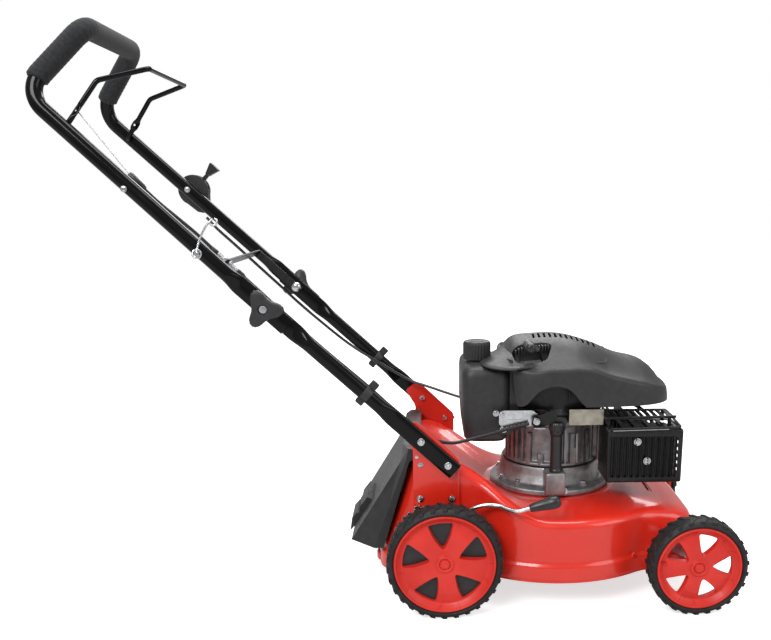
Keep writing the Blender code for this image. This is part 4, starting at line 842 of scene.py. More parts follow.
def build_bail():
    inner_y = 0.1345
    knee = Vector((-0.4905, -inner_y + 0.01, 0.7965))
    corner = Vector((-0.4235, -0.098, 0.816))
    hook = BAIL_PIVOT + over(-0.1465)
    foot = BAIL_PIVOT + over(-inner_y)
    half = filleted([hook, foot, knee, corner, Vector((corner.x, 0, corner.z))], [0.006, 0.014, 0.009],
                    10)[:-1]
    path = evenly(half + mirrored(half), 0.002)
    flats = [Vector((-0.5215, side * 0.1302, 0.7555)) for side in (-1, 1)]

    def section(i, here):
        near = min((path[i] - spot).length for spot in flats)
        share = 1 - smoothstep((near - 0.004) / 0.008)
        return 0.0038 - 0.0021 * share, 0.0038 + 0.0026 * share

    bar = solid(swept(path, (0, 1, 0.02), section, 24))
    for spot in flats:
        carved(bar, rod(spot - over(0.01), spot + over(0.01), 0.0018, 16))
    piece("bail_bar", bar, BLACK_PAINT, "bail", ["bail"], bevel=0.0003, steps=2, angle=50)
    hook_end = Vector((-0.5215, -0.1262, 0.7555))
    end = Vector((-0.4508, -0.14, 0.667))
    along = (end - hook_end).normalized()
    loop = [hook_end + Vector((0, -0.0052, 0.0006)), hook_end + Vector((-0.0005, -0.003, 0.0022)),
            hook_end + Vector((0.0002, 0.0, 0.0008)), hook_end + along * 0.004, hook_end + along * 0.01,
            end]
    wire = tube(smooth_route(loop, 0.0015), 0.0008, 12)
    piece("stop_wire", wire, GALVANISED, "bail", ["brake_wire"])


def build_throttle():
    centre = (THROTTLE.x, THROTTLE.z)
    tail = (centre[0] + 0.016, centre[1] - 0.04)
    outline = arc(centre, 0.0265, -15, 245, 40) + [(tail[0] - 0.01, tail[1] + 0.002), tail,
                                                   (tail[0] + 0.009, tail[1] + 0.008)]
    case = solid(prism(outline, 0.1722, 0.1925))
    carved(case, rod((centre[0], 0.1775, centre[1]), (centre[0], 0.1865, centre[1]), 0.0215, 48))
    slot = arc(centre, 0.06, 2, 90, 12) + arc(centre, 0.015, 90, 2, 6)
    carved(case, prism(slot, 0.1775, 0.1865))
    piece("throttle_case", case, BLACK_PLASTIC, "upper_handle", ["throttle_housing"], bevel=0.0016, steps=4,
          angle=35)
    strap = rounded_loop(mm((-13, -10), (13, -10), (13, 10), (-13, 10)), 0.004, 4)
    along = HANDLE_RUN
    up = Vector((along.z, 0, -along.x))
    foot = Vector((THROTTLE.x - 0.004, 0, THROTTLE.z + 0.002))
    rings = [[foot + along * a + up * b + over(y) for a, b in strap] for y in (0.1698, 0.1724)]
    clamp = lofted(rings)
    piece("throttle_clamp", clamp, BLACK_PLASTIC, "upper_handle", bevel=0.0008)
    inside = Vector((-0.4445, 0.1468, 0.6485))
    screws("throttle_screw", [(inside, (0, -1, 0)), (Vector((centre[0], 0.1926, centre[1])), (0, 1, 0))],
           0.004, 0.0026, "upper_handle")
    aim = 46
    lever = solid(rod((centre[0], 0.1785, centre[1]), (centre[0], 0.1855, centre[1]), 0.0205, 48))
    stem = arc(centre, 0.016, aim - 16, aim + 16, 2) + arc(centre, 0.04, aim + 4, aim - 4, 2)
    joined(lever, prism(stem, 0.179, 0.185))
    fan = rounded_loop(arc(centre, 0.0355, aim - 5, aim + 5, 1) + arc(centre, 0.0575, aim + 10, aim - 10,
                                                                      6), 0.0025, 3)
    joined(lever, prism(fan, 0.175, 0.189))
    piece("throttle_thumb_lever", lever, SMOOTH_PLASTIC, "throttle_lever", ["throttle_lever"], bevel=0.0009,
          steps=3, angle=40)


BARREL = FOLD + HANDLE_RUN * 0.0905 + over(-0.098)


def build_strap():
    along = HANDLE_RUN
    across = Vector((along.z, 0, -along.x))
    near_y, far_y, thick = -0.108, LOWER_Y - 0.004 - GAP, 0.003
    step_y = far_y - 0.005
    bend = 0.092
    outer = [(-0.01, far_y), (0.02, far_y), (0.032, step_y), (bend, step_y), (bend, near_y)]
    inner = [(bend - thick, near_y), (bend - thick, step_y - thick), (0.031, step_y - thick),
             (0.019, far_y - thick), (-0.01, far_y - thick)]
    outline = rounded_loop(outer + inner, [0, 0.004, 0.004, 0.01, 0, 0, 0.007, 0.004, 0.004, 0], 5)
    strap = solid(lofted([[FOLD + along * t + across * w + over(y) for t, y in outline]
                          for w in (-0.007, 0.007)]))
    hole = FOLD + over(far_y)
    carved(strap, rod(hole - over(0.02), hole + over(0.02), BOLT_HOLE))
    carved(strap, rod(BARREL - along * 0.01, BARREL + along * 0.01, 0.0046))
    piece("cable_bracket", strap, HEATPROOF, "upper_handle", ["cable_strap"], bevel=0.0006)
    parts = [thread(BARREL - along * 0.021, along, 0.004, 0.04, 0.0012),
             hexagon(BARREL - along * 0.0065, along, 0.0105, 0.0045),
             hexagon(BARREL + along * 0.0022, along, 0.0105, 0.0045, 0.5)]
    piece("cable_adjuster", merged(*parts), BRIGHT, "upper_handle", bevel=0.00015, steps=2)
    boots = []
    for way in (-1, 1):
        foot = BARREL + along * 0.0195 * way
        boots.append(turned(mm((0, 0), (4.2, 0), (4.4, 2), (4.2, 10), (3, 14), (0, 14)), foot, along * way,
                            28))
    piece("cable_adjuster_boots", merged(*boots), SMOOTH_PLASTIC, "upper_handle")


BRAKE_TOP = mm((-449, -140, 665), (-435, -139, 650), (-415, -136, 629), (-392, -126, 606.5),
               (-372, -112, 585.5), (-356, -101, 567))
BRAKE_LOW = mm((-305, -98, 517), (-290, -102, 504), (-270, -114, 488), (-245, -127, 466), (-215, -136, 440),
               (-175, -141, 405), (-119, -142.5, 356), (-85, -142, 324), (-55, -140, 297), (-30, -136, 276),
               (-10, -131, 262), (15, -126, 257), (40, -120, 260), (70, -114, 266), (100, -111, 274),
               (120, -110, 279), (138, -110, 283))
THROTTLE_ROUTE = mm((-418, 165, 600), (-400, 160, 581), (-370, 159, 553), (-330, 158, 515),
                    (-290, 158, 477), (-260, 158, 448), (-225, 157, 417), (-180, 153, 380),
                    (-150, 145, 360), (-119, 141, 342), (-90, 139, 324), (-55, 134, 305), (-20, 123, 295),
                    (20, 108, 284), (60, 96, 274), (100, 93, 268), (150, 96, 264), (195, 100, 262))


def bend_over_fold(obj):
    """Bake a cable piece's object transform into its mesh; the piece rides on no body."""
    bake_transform(obj)


def build_cables():
    along = HANDLE_RUN
    points = [Vector(p) for p in BRAKE_TOP] + [BARREL + along * 0.018]
    piece("stop_cable_upper", tube(smooth_route(points, 0.003), 0.0027, 16), JACKET, "upper_handle",
          ["brake_cable"])
    lower_points = [BARREL - along * 0.03] + [Vector(p) for p in BRAKE_LOW]
    lower = piece("stop_cable_lower", tube(smooth_route(lower_points, 0.003), 0.0027, 16), JACKET, None)
    bend_over_fold(lower)
    top = Vector(BRAKE_TOP[0])
    away = (top - Vector(BRAKE_TOP[1])).normalized()
    cap = turned(mm((0, -4), (4, -4), (5.2, 0), (5.2, 22), (3.4, 26), (0, 26)), top - away * 0.022, away,
                 28)
    piece("stop_cable_cap", cap, SMOOTH_PLASTIC, "upper_handle")
    screws("stop_cable_cap_screw", [(Vector((-0.4512, -0.1702, 0.6465)), (0, -1, 0))], 0.0036, 0.0024,
           "upper_handle")
    route = smooth_route(THROTTLE_ROUTE, 0.003)
    throttle = piece("gas_cable", tube(route, 0.0025, 16), JACKET, None, ["throttle_cable"])
    bend_over_fold(throttle)


def build_clips():
    up = Vector((LOWER_RUN.z * -1, 0, LOWER_RUN.x))
    for name, side in SIDES:
        centre = FOLD + LOWER_RUN * 0.196 + over(side * (LOWER_Y - 0.001))
        band = turned(mm((11.2, -6.5), (12.8, -6.5), (13, -6), (13, 6), (12.8, 6.5), (11.2, 6.5)), centre,
                      LOWER_RUN, 48)
        face = rounded_loop(mm((-6.5, 12), (6.5, 12), (6.5, 23.5), (-6.5, 23.5)), 0.002, 3)
        tab = lofted([[centre + LOWER_RUN * a + up * b + over(y) for a, b in face]
                      for y in (-0.0035, 0.0035)])
        face = rounded_loop(mm((-6.5, -12), (6.5, -12), (6.5, -19.5), (-6.5, -19.5)), 0.002, 3)
        under = lofted([[centre + LOWER_RUN * a + up * b + over(y) for a, b in face]
                        for y in (-0.0045, 0.0045)])
        piece(f"cable_clip_{name}", merged(band, tab, under), BLACK_PLASTIC, "chassis", bevel=0.0006,
              steps=2)


def build_rope_guide():
    foot = Vector((-0.353, -0.1782, 0.5565))
    up = Vector((0.47, 0.1, 0.877)).normalized()
    side = Vector((-0.854, 0, 0.52))
    path = []
    for k in range(17):
        angle = radians(-70 - 24 * k)
        path.append(foot + up * 0.0058 * sin(angle) + side * 0.0058 * cos(angle)
                    - over(0.00045 * k - 0.003))
    top = foot + up * 0.044
    path.append(foot + up * 0.02 + side * 0.0055)
    path.append(top + side * 0.005)
    for k in range(12):
        angle = radians(60 - 32 * k)
        path.append(top + up * (0.006 + 0.0045 * sin(angle)) + side * (0.0045 * cos(angle))
                    + over(0.0012 * k))
    piece("rope_hook", tube(smooth_route(path, 0.0012), 0.0015, 12), BRIGHT, "upper_handle", ["rope_guide"])
    nuts("rope_hook_nut", [(Vector((-0.353, -0.1765, 0.5565)), (0, -1, 0))], 0.0075, 0.004, "upper_handle",
         STUD)


build_lower_handles()
build_upper_handle()
build_knobs()
build_bail()
build_throttle()
build_strap()
build_cables()
build_clips()
build_rope_guide()


# ---------------------------------------------------------------- wheels


SPOKES = 5
SPOKE_STEP = 360 / SPOKES
TREADS = {"rear": 30, "front": 26}
WHEELS = (("rear", REAR_AXLE, REAR_RADIUS, 96), ("front", FRONT_AXLE, FRONT_RADIUS, 74))


def window_outline(centre, aim, inner, outer, half):
    """Rounded three-sided window between two spokes, with bowed sides."""
    reach, wide = outer * cos(half), outer * sin(half)
    side = [(inner + (reach - inner) * 0.45, wide * 0.55 + 0.0016), (reach + 0.0006, wide + 0.0008),
            (outer * cos(half * 0.5), outer * sin(half * 0.5))]
    shape = [(inner - 0.0036, 0)] + side + [(outer, 0)] + [(r, -t) for r, t in reversed(side)]
    radii = [0.0068, 0.01, 0.0062, 0.003, 0.003, 0.003, 0.0062, 0.01]
    c, s = cos(aim), sin(aim)
    return [(centre[0] + r * c - t * s, centre[1] + r * s + t * c)
            for r, t in rounded_loop(shape, radii, 6)]


def build_wheel(place, axle, radius, name, side, first):
    outer = radius - TYRE_HEIGHT
    face = WHEEL_DEPTH - 0.006
    base = axle + over(side * WHEEL_INNER_Y)
    axis = over(side)
    corners = [(0.0053, 0.001), (0.011, 0.001), (0.012, face - 0.011), (outer * 0.5, face - 0.0105),
               (outer - 0.012, face - 0.01), (outer - 0.006, 0.003), (outer, 0.003), (outer, face + 0.003),
               (outer - 0.0012, face + 0.0042), (outer - 0.0034, face + 0.0042),
               (outer - 0.0044, face + 0.0022), (outer - 0.0095, face - 0.003),
               (outer - 0.0125, face - 0.0052), (outer * 0.62, face - 0.0006), (0.02, face - 0.0004),
               (0.0142, face - 0.0012), (0.0134, face + 0.0018), (0.0096, face + 0.0022),
               (0.0086, face - 0.0004), (0.0074, face - 0.0002), (0.0068, face + 0.0024),
               (0.003, face + 0.0034), (0.003, face - 0.0005), (0.0053, face - 0.0008)]
    rim = solid(turned(rounded_loop(corners, 0.0014, 3), base, axis, 144))
    joined(rim, rod(base + axis * (face - 0.0006), base + axis * (face + 0.0033), 0.0036, 24))
    for k in range(SPOKES):
        aim = radians(first + k * SPOKE_STEP)
        inner_line = window_outline((axle.x, axle.z), aim, radius * 0.3, outer - 0.0142, radians(16.5))
        outer_line = window_outline((axle.x, axle.z), aim, radius * 0.278, outer - 0.0122, radians(18.2))
        cutter = bmesh.new()
        skin(cutter, [[Vector((x, y, z)) for x, z in line]
                      for y, line in ((axle.y + side * (WHEEL_INNER_Y + 0.005), inner_line),
                                      (axle.y + side * (WHEEL_INNER_Y + face - 0.0108), inner_line),
                                      (axle.y + side * (WHEEL_INNER_Y + face + 0.0004), outer_line),
                                      (axle.y + side * (WHEEL_OUTER_Y + 0.01), outer_line))])
        carved(rim, cutter)
    for k in range(SPOKES):
        spoke = radians(first + (k + 0.5) * SPOKE_STEP)
        for lean in (-1, 1):
            carved(rim, spoke_groove(axle, side, outer, face, spoke + lean * radians(9.5), lean))
    body = f"{place}_wheel_{name}"
    piece(f"{place}_wheel_disc_{name}", rim, RED_PLASTIC, body, [f"{place}_rim_{name}"], bevel=0.0012,
          steps=3, angle=38)
    web = [(0.0125, face - 0.0138), (outer - 0.0125, face - 0.0138), (outer - 0.0125, face - 0.0112),
           (0.0125, face - 0.0112)]
    if place == "rear":
        piece(f"rear_wheel_web_{name}", turned(web, base, axis, 96), BLACK_PLASTIC, body)
    build_tyre(place, radius, name, base, axis, body)


def spoke_groove(axle, side, outer, face, angle, lean):
    """Cutter for a shallow crease that follows the rim's LOWER_RUN beside a spoke."""
    stations = ((outer - 0.015, face - 0.0048, 0.0), (outer - 0.0098, face - 0.0034, 0.03),
                (outer - 0.005, face + 0.0012, 0.06))
    rings = []
    for radius, height, drift in stations:
        turn = angle + lean * drift
        out = Vector((cos(turn), 0, sin(turn)))
        wide = Vector((-out.z, 0, out.x)) * 0.00045
        low = axle + out * radius + over(side * (WHEEL_INNER_Y + height - 0.001))
        high = axle + out * radius + over(side * (WHEEL_INNER_Y + height + 0.005))
        rings.append([low - wide, high - wide, high + wide, low + wide])
    return lofted(rings)


def build_tyre(place, radius, name, base, axis, body):
    seat = radius - TYRE_HEIGHT + GAP
    depth = WHEEL_DEPTH
    floor = radius - 0.0012
    profile = rounded_loop([(seat, 0.003), (seat + 0.002, 0.0008), (seat + 0.0038, 0.0002),
                            (floor - 0.003, 0.0022), (floor, 0.0062), (floor + 0.0002, depth / 2),
                            (floor, depth - 0.0062), (floor - 0.003, depth - 0.0022),
                            (seat + 0.0038, depth - 0.0002), (seat + 0.002, depth - 0.0008),
                            (seat, depth - 0.003)], 0.0015, 3)
    carcass = turned(profile, base, axis, 144)
    parts = [carcass]
    count = TREADS[place]
    for k in range(count):
        for half in (0, 1):
            angle = 2 * pi * (k + 0.5 * half) / count
            parts.append(tread_block(base, axis, radius, floor, depth, angle, half, 2 * pi / count))
    piece(f"{place}_tyre_tread_{name}", merged(*parts), RUBBER, body, [f"{place}_tyre_{name}"],
          bevel=0.0005, steps=2, angle=35)


def tread_block(base, axis, radius, floor, depth, angle, half, pitch):
    """One raised, slanted bar that wraps from the crown over one shoulder."""
    turn = Vector((0, 0, 1)).rotation_difference(axis).to_matrix()
    middle = depth / 2
    stations = ((middle + 0.0008, 0.0, 0.36), (middle + 0.007, 0.16, 0.38), (depth - 0.006, 0.42, 0.38),
                (depth - 0.003, 0.48, 0.37), (depth - 0.0016, 0.52, 0.33))
    rings = []
    for height, drift, width in stations:
        if half:
            height = depth - height
        shoulder = abs(height - middle) > middle - 0.003
        top = radius - (0.0034 if abs(height - middle) > middle - 0.002 else 0.0)
        low = floor - (0.006 if shoulder else 0.0015)
        ring = []
        for r, way in ((low, -1), (top, -1), (top, 1), (low, 1)):
            a = angle + pitch * (drift + way * width / 2)
            ring.append(base + turn @ Vector((r * cos(a), r * sin(a), height)))
        rings.append(ring)
    return lofted(rings)


def build_wheels():
    for place, axle, radius, first in WHEELS:
        for name, side in SIDES:
            build_wheel(place, axle, radius, name, side, first)


def build_axles():
    for body, node_name, pivot, axle in (("rear_crank", "rear_axle", REAR_PIVOT, REAR_AXLE),
                                         ("front_crank", "front_axle", FRONT_PIVOT, FRONT_AXLE)):
        shaft = solid(rod(pivot - over(0.16), pivot + over(0.16), 0.004, 32))
        angle = atan2((axle - pivot).z, (axle - pivot).x) * 180 / pi
        for _, side in SIDES:
            inner, outer = sorted((side * 0.1565, side * 0.1615))
            bar = arc((pivot.x, pivot.z), 0.009, angle + 90, angle + 270, 16)
            bar += arc((axle.x, axle.z), 0.009, angle - 90, angle + 90, 16)
            joined(shaft, prism(bar, inner, outer))
            joined(shaft, rod(axle + over(side * 0.158), axle + over(side * 0.218), 0.005, 32))
        pin = pivot + Vector((0, 0, 0.03))
        arm = arc((pivot.x, pivot.z), 0.007, 180, 360, 14) + arc((pin.x, pin.z), 0.005, 0, 180, 12)
        joined(shaft, prism(arm, 0.1135, 0.1175))
        joined(shaft, rod(pin + over(0.116), pin + over(0.123), 0.0022, 20))
        piece(f"{node_name}_bar", shaft, ZINC, body, [node_name], bevel=0.0005, steps=2, angle=40)


LEVER_ROUTE = mm((8, -165.5, 127), (28, -170, 150), (45, -177.5, 165), (65, -180, 171), (85, -183.5, 170.5),
                 (100, -196, 168.5), (113, -204, 169), (130, -205, 173.8))


def build_height_lever():
    centre = (REAR_PIVOT.x, REAR_PIVOT.z)
    hub = arc(centre, 0.011, 150, 330, 16) + [(0.016, 0.127), (0.006, 0.134)]
    lever = solid(prism(hub, -0.166, -0.162))
    aim = 105
    joined(lever, prism(arc(centre, 0.008, aim - 40, aim + 40, 2) + arc(centre, 0.063, aim + 4, aim - 4, 2),
                        -0.166, -0.162))
    tooth = arc(centre, 0.0575, aim - 3.2, aim + 3.2, 1) + arc(centre, 0.0625, aim + 3, aim - 3, 1)
    joined(lever, prism(tooth, -0.163, -0.1545))
    joined(lever, tube(smooth_route(LEVER_ROUTE, 0.003), 0.0032, 20))
    piece("height_lever_rod", lever, BRIGHT, "rear_crank", ["height_lever"], bevel=0.0004, steps=2,
          angle=40)
    start = Vector(LEVER_ROUTE[-1])
    along = (start - Vector(LEVER_ROUTE[-2])).normalized()
    outline = rounded_profile([(0, GAP), (0.0052, GAP), (0.006, 0.002), (0.0066, 0.006), (0.0092, 0.026),
                               (0.0107, 0.036), (0.01, 0.0445), (0.006, 0.0488), (0, 0.0492)], 0.003, 4)

    def ribs(radius, height, angle):
        return radius - (0.00035 if 0.008 < height < 0.034 and cos(angle * 14) > 0.72 else 0.0)

    piece("height_lever_grip", turned(outline, start, along, 84, ribs), SMOOTH_PLASTIC, "rear_crank",
          ["lever_grip"], smooth=35)


def build_index_plate():
    """Notched plate behind the rear wheel that the height lever's tooth clicks round."""
    centre = (REAR_PIVOT.x, REAR_PIVOT.z)
    first, last, notches = 99, 171, 6
    outline = arc(centre, 0.013, last, 62, 16) + arc(centre, 0.056, 62, first - 6, 10)
    step = (last - first) / notches
    for k in range(notches):
        start = first + k * step
        outline += arc(centre, 0.056, start - step * 0.22, start + step * 0.22, 3)
        outline += arc(centre, 0.051, start + step * 0.32, start + step * 0.68, 3)
    outline += arc(centre, 0.056, last - 2, last, 1)
    outer = -0.1531
    piece("index_plate", prism(outline, outer - 0.003, outer), ZINC, "chassis", ["height_quadrant"],
          bevel=0.0004, steps=2)


build_wheels()
build_axles()
build_height_lever()
build_index_plate()


# ---------------------------------------------------------------- flap


def flap_hull(inset):
    front = 0.02 if inset else 0.0
    side = 0.134 - inset
    middle = side - 0.029
    top = 0.25 - 7 * inset
    neck = 0.229 - 5 * inset
    common = [(-0.037 + front, top), (-0.037 + front, top - 0.012 + 3 * inset), (-0.054 + front, neck),
              (-0.109 + front, 0.083)]
    edge = [(-0.114, 0.084 + inset), (-0.06 + inset, neck + 0.001), (-0.056 + inset, top)]
    crease = [(-0.152 + inset, 0.0875 + inset), (-0.0695 + inset, 0.2196), (-0.064 + inset, top)]
    rings = [[Vector((x, y, z)) for x, z in common + tail]
             for y, tail in ((-side, edge), (-middle, crease), (middle, crease), (side, edge))]
    return lofted(rings)


def build_flap():
    flap = solid(flap_hull(0.0))
    carved(flap, flap_hull(0.003))
    reach = over(0.2)
    carved(flap, rod(FLAP_HINGE - reach, FLAP_HINGE + reach, 0.0034, 32))
    upper = mm((-117, 134), (-129, 140), (-141.2, 124), (-143.5, 108.5), (-136, 104))
    lower = mm((-136, 104), (-148, 109), (-156.8, 98.5), (-160, 76), (-150, 88))
    joined(flap, prism(upper, -0.045, 0.045))
    joined(flap, prism(lower, -0.036, 0.036))
    cheek = mm((-56, 224), (-97.5, 83.5), (-111, 83.5), (-60, 220))
    for _, side in SIDES:
        joined(flap, prism(cheek, *sorted((side * 0.1312, side * 0.1338))))
    for y in (-0.118, 0.112):
        web = mm((-41, 240), (-60, 220), (-65, 222), (-54, 248))
        joined(flap, prism(web, y, y + 0.006))
    piece("flap_cover", flap, BLACK_PLASTIC, "rear_flap", ["rear_flap"], bevel=0.0012, steps=3, angle=25)
    path = []
    for k in range(4 * 24 + 1):
        angle = 2 * pi * k / 24 + 0.4
        path.append(FLAP_HINGE + Vector((0.0047 * cos(angle), -0.1488 + 0.0026 * k / 24,
                                         0.0047 * sin(angle))))
    piece("flap_coil", tube(path, 0.0007, 10, (0, 1, 0.1)), GALVANISED, "chassis", ["flap_spring"])
    reach = over(0.1543)
    piece("flap_pin", rod(FLAP_HINGE - reach, FLAP_HINGE + reach, 0.003, 28, 0.0008), BRIGHT, "chassis",
          ["flap_hinge_rod"])


build_flap()


# ---------------------------------------------------------------- engine


def shaft(height):
    return Vector((ENGINE_X, 0, height))


SUMP_BOLTS = (203, 228, 302, 336, 20, 65, 110, 155)


def build_sump():
    outline = rounded_profile(mm((0, 148), (27, 148), (27, 156.3), (101.5, 156.3), (102.8, 158),
                                 (102.8, 165), (99, 167.2), (90, 171.5), (85, 185), (82.5, 199.8),
                                 (0, 199.8)), 0.0035, 4)
    sump = solid(turned(outline, shaft(0), segments=128))
    boss = box((FILLER.x - 0.018, -0.1125, 0.16), (FILLER.x + 0.016, -0.07, 0.1998), 0.005, 4)
    joined(sump, boss)
    ring = turned(mm((5.2, -4), (8.4, -4), (8.4, 1.4), (5.2, 1.4), (5.2, -4)),
                  (FILLER.x - 0.004, -0.1125, 0.18), (0, -1, 0), 40)
    joined(sump, ring)
    for angle in SUMP_BOLTS:
        out = outward(angle)
        joined(sump, turned([(0, 0.16), (0.0066, 0.16), (0.0062, 0.1715), (0, 0.1715)],
                            shaft(0) + out * 0.0915, segments=28))
    carved(sump, rod(shaft(0.14), shaft(0.21), 0.013, 32))
    piece("sump_casting", sump, CAST, "chassis", ["engine_sump"], bevel=0.0012, steps=3, angle=35)
    heads = []
    for k, angle in enumerate(SUMP_BOLTS):
        out = outward(angle)
        heads.append(hexagon(shaft(0.1715) + out * 0.0915, (0, 0, 1), 0.008, 0.0042, turn=k * 0.5,
                             dome=0.0004))
    piece("sump_bolts", merged(*heads), ZINC, "chassis", bevel=0.0002, steps=2)
    plug = hexagon(Vector((0.1975, -0.104, 0.1665)), (0.1, -1, 0.15), 0.012, 0.005, dome=0.0006)
    piece("drain_plug", plug, BRIGHT, "chassis", bevel=0.0002, steps=2)


def build_block():
    outline = rounded_profile(mm((0, 200.3), (80, 200.3), (80, 205.2), (74.5, 208), (73, 266), (76.2, 269),
                                 (76.2, 276), (0, 276)), 0.0016, 3)
    block = solid(turned(outline, shaft(0), segments=96))
    for k, angle in enumerate(range(192, 352, 9)):
        if 240 < angle < 272:
            continue
        out = outward(angle)
        side = Vector((-out.y, out.x, 0))
        thick = (0.0032, 0.002, 0.0045)[k % 3]
        top = (0.27, 0.256, 0.264)[(k * 2) % 3]
        foot = shaft(0) + out * 0.07
        tip = shaft(0) + out * (0.079 + 0.001 * (k % 2))
        ring = [(foot - side * thick), (tip - side * thick * 0.8), (tip + side * thick * 0.8),
                (foot + side * thick)]
        joined(block, prism([(p.x, p.y) for p in ring], 0.204, top, "Z"))
    for x, half, top in mm((162, 4.8, 222), (217, 3.4, 231), (223, 2.4, 256)):
        y = -((0.074 ** 2 - (x - ENGINE_X) ** 2) ** 0.5)
        joined(block, box((x - half, y - 0.0062, 0.201), (x + half, y + 0.01, top), 0.0012, 2))
    joined(block, box((ENGINE_X + 0.055, -0.034, 0.204), (0.304, 0.034, 0.272), 0.004, 3))
    for x in (0.262, 0.2695, 0.277, 0.2845, 0.292):
        joined(block, box((x, -0.046, 0.201), (x + 0.0024, 0.046, 0.2755), 0.0008, 2))
    carved(block, rod(shaft(0.19), shaft(0.29), 0.013, 32))
    piece("crankcase_casting", block, CAST, "chassis", ["engine_block"], bevel=0.0008, steps=2, angle=35)
    gasket = turned([(0.078, 0.19985), (0.0829, 0.19985), (0.0829, 0.20035), (0.078, 0.20035)], shaft(0),
                    segments=96)
    piece("sump_gasket", gasket, HEATPROOF, "chassis")


def build_head():
    head = solid(box((0.3043, -0.04, 0.199), (0.319, 0.04, 0.276), 0.003, 3))
    for k in range(8):
        z = 0.202 + 0.0092 * k
        joined(head, box((0.317, -0.047, z), (0.34, 0.047, z + 0.0026), 0.0008, 2))
    joined(head, rod((0.31, 0, 0.236), (0.33, 0, 0.236), 0.012, 32))
    carved(head, rod((0.3302, 0, 0.236), (0.345, 0, 0.236), 0.0125, 32))
    carved(head, rod((0.318, 0, 0.236), (0.345, 0, 0.236), 0.0068, 24))
    piece("head_casting", head, CAST, "chassis", ["cylinder_head"], bevel=0.0006, steps=2, angle=35)
    boot = turned(mm((0, 22.5), (8.5, 22.5), (9.2, 26), (9.2, 44), (8, 50), (5, 53.5), (0, 54)),
                  (0.319, 0, 0.236), (1, 0, 0), 32)
    piece("plug_boot", boot, SMOOTH_PLASTIC, "chassis")
    lead = [Vector(p) for p in mm((366, 0, 238.5), (370, 12, 248), (364, 30, 262), (345, 46, 276),
                                  (315, 54, 286), (285, 52, 292))]
    piece("ignition_lead", tube(smooth_route(lead, 0.003), 0.0034, 16), JACKET, "chassis")


def build_guard():
    """Louvred silencer guard with a raised top grille."""
    low, high = Vector((0.262, -0.126, 0.1865)), Vector((0.385, -0.052, 0.276))
    guard = solid(box(low, high, 0.004, 4))
    carved(guard, box((low.x + 0.0016, low.y + 0.0016, 0.17), (high.x - 0.0016, -0.03, high.z - 0.0016),
                      0.003, 3))
    for k in range(11):
        x = 0.27 + 0.0102 * k
        carved(guard, box((x, -0.13, 0.196), (x + 0.0046, -0.12, 0.264), 0.0008, 2))
    for k in range(6):
        z = 0.198 + 0.0115 * k
        carved(guard, box((0.378, -0.117, z), (0.39, -0.06, z + 0.006), 0.0008, 2))
    for k in range(5):
        x = 0.274 + 0.0215 * k
        carved(guard, box((x, -0.112, 0.27), (x + 0.0135, -0.062, 0.28), 0.0015, 2))
    for k in range(11):
        x = 0.2698 + 0.0102 * k
        rib = [(x - 0.0004, -0.1246), (x + 0.0006, -0.1246), (x - 0.0026, -0.1296), (x - 0.0036, -0.1296)]
        joined(guard, prism(rib, 0.1965, 0.2635, "Z"))
    piece("silencer_guard", guard, HEATPROOF, "chassis", ["muffler_guard"], bevel=0.0005, steps=2, angle=35)
    # A dark sheet with rods just inside the louvres paints the shade seen through the slots.
    shade_sheet = solid(box((low.x + 0.004, low.y + 0.0062, low.z + 0.003),
                      (high.x - 0.008, low.y + 0.0078, high.z - 0.006), 0.0004, 1))
    for k in range(10):
        x = 0.2752 + 0.0102 * k
        joined(shade_sheet, rod((x, low.y + 0.0068, low.z + 0.01), (x, low.y + 0.0068, high.z - 0.01), 0.0016,
                          12))
    piece("silencer_shade_sheet", shade_sheet, HEATPROOF, "chassis")
    rail = filleted(mm((266, -126.2, 276.2), (380, -126.2, 279), (384, -56, 279)), [0.01], 10)
    piece("silencer_guard_rail", tube(rail, 0.0022, 14), HEATPROOF, "chassis")
    # A bright zinc strip along the guard's top edge paints the highlight on the top rail.
    bright = rounded_loop(mm((270, 273.5), (360, 275.5), (360, 278.8), (270, 276.8)), 0.001, 2)
    piece("silencer_guard_highlight_strip", prism(bright, -0.1277, -0.1262), ZINC, "chassis", bevel=0.0004, steps=2)
    top = solid(box((0.26, -0.112, 0.29), (0.374, -0.05, 0.2925), 0.001, 2))
    for k in range(9):
        x = 0.269 + 0.0112 * k
        carved(top, box((x, -0.105, 0.285), (x + 0.006, -0.058, 0.296), 0.0015, 2))
    joined(top, tube([Vector((0.26, -0.1125, 0.2915)), Vector((0.374, -0.1125, 0.2935))], 0.0024, 14))
    piece("silencer_top_grille", top, HEATPROOF, "chassis", bevel=0.0004, steps=2, angle=35)
    posts = [rod((x, y, 0.274), (x, y, 0.2905), 0.003, 20)
             for x, y in mm((268, -104), (366, -104), (268, -60), (366, -60))]
    piece("silencer_posts", merged(*posts), HEATPROOF, "chassis")
    places = [(Vector((0.3105, -0.1272, 0.256)), (0, -1, 0)), (Vector((0.327, -0.1272, 0.224)), (0, -1, 0))]
    screws("silencer_screws", places, 0.0046, 0.0028, "chassis")


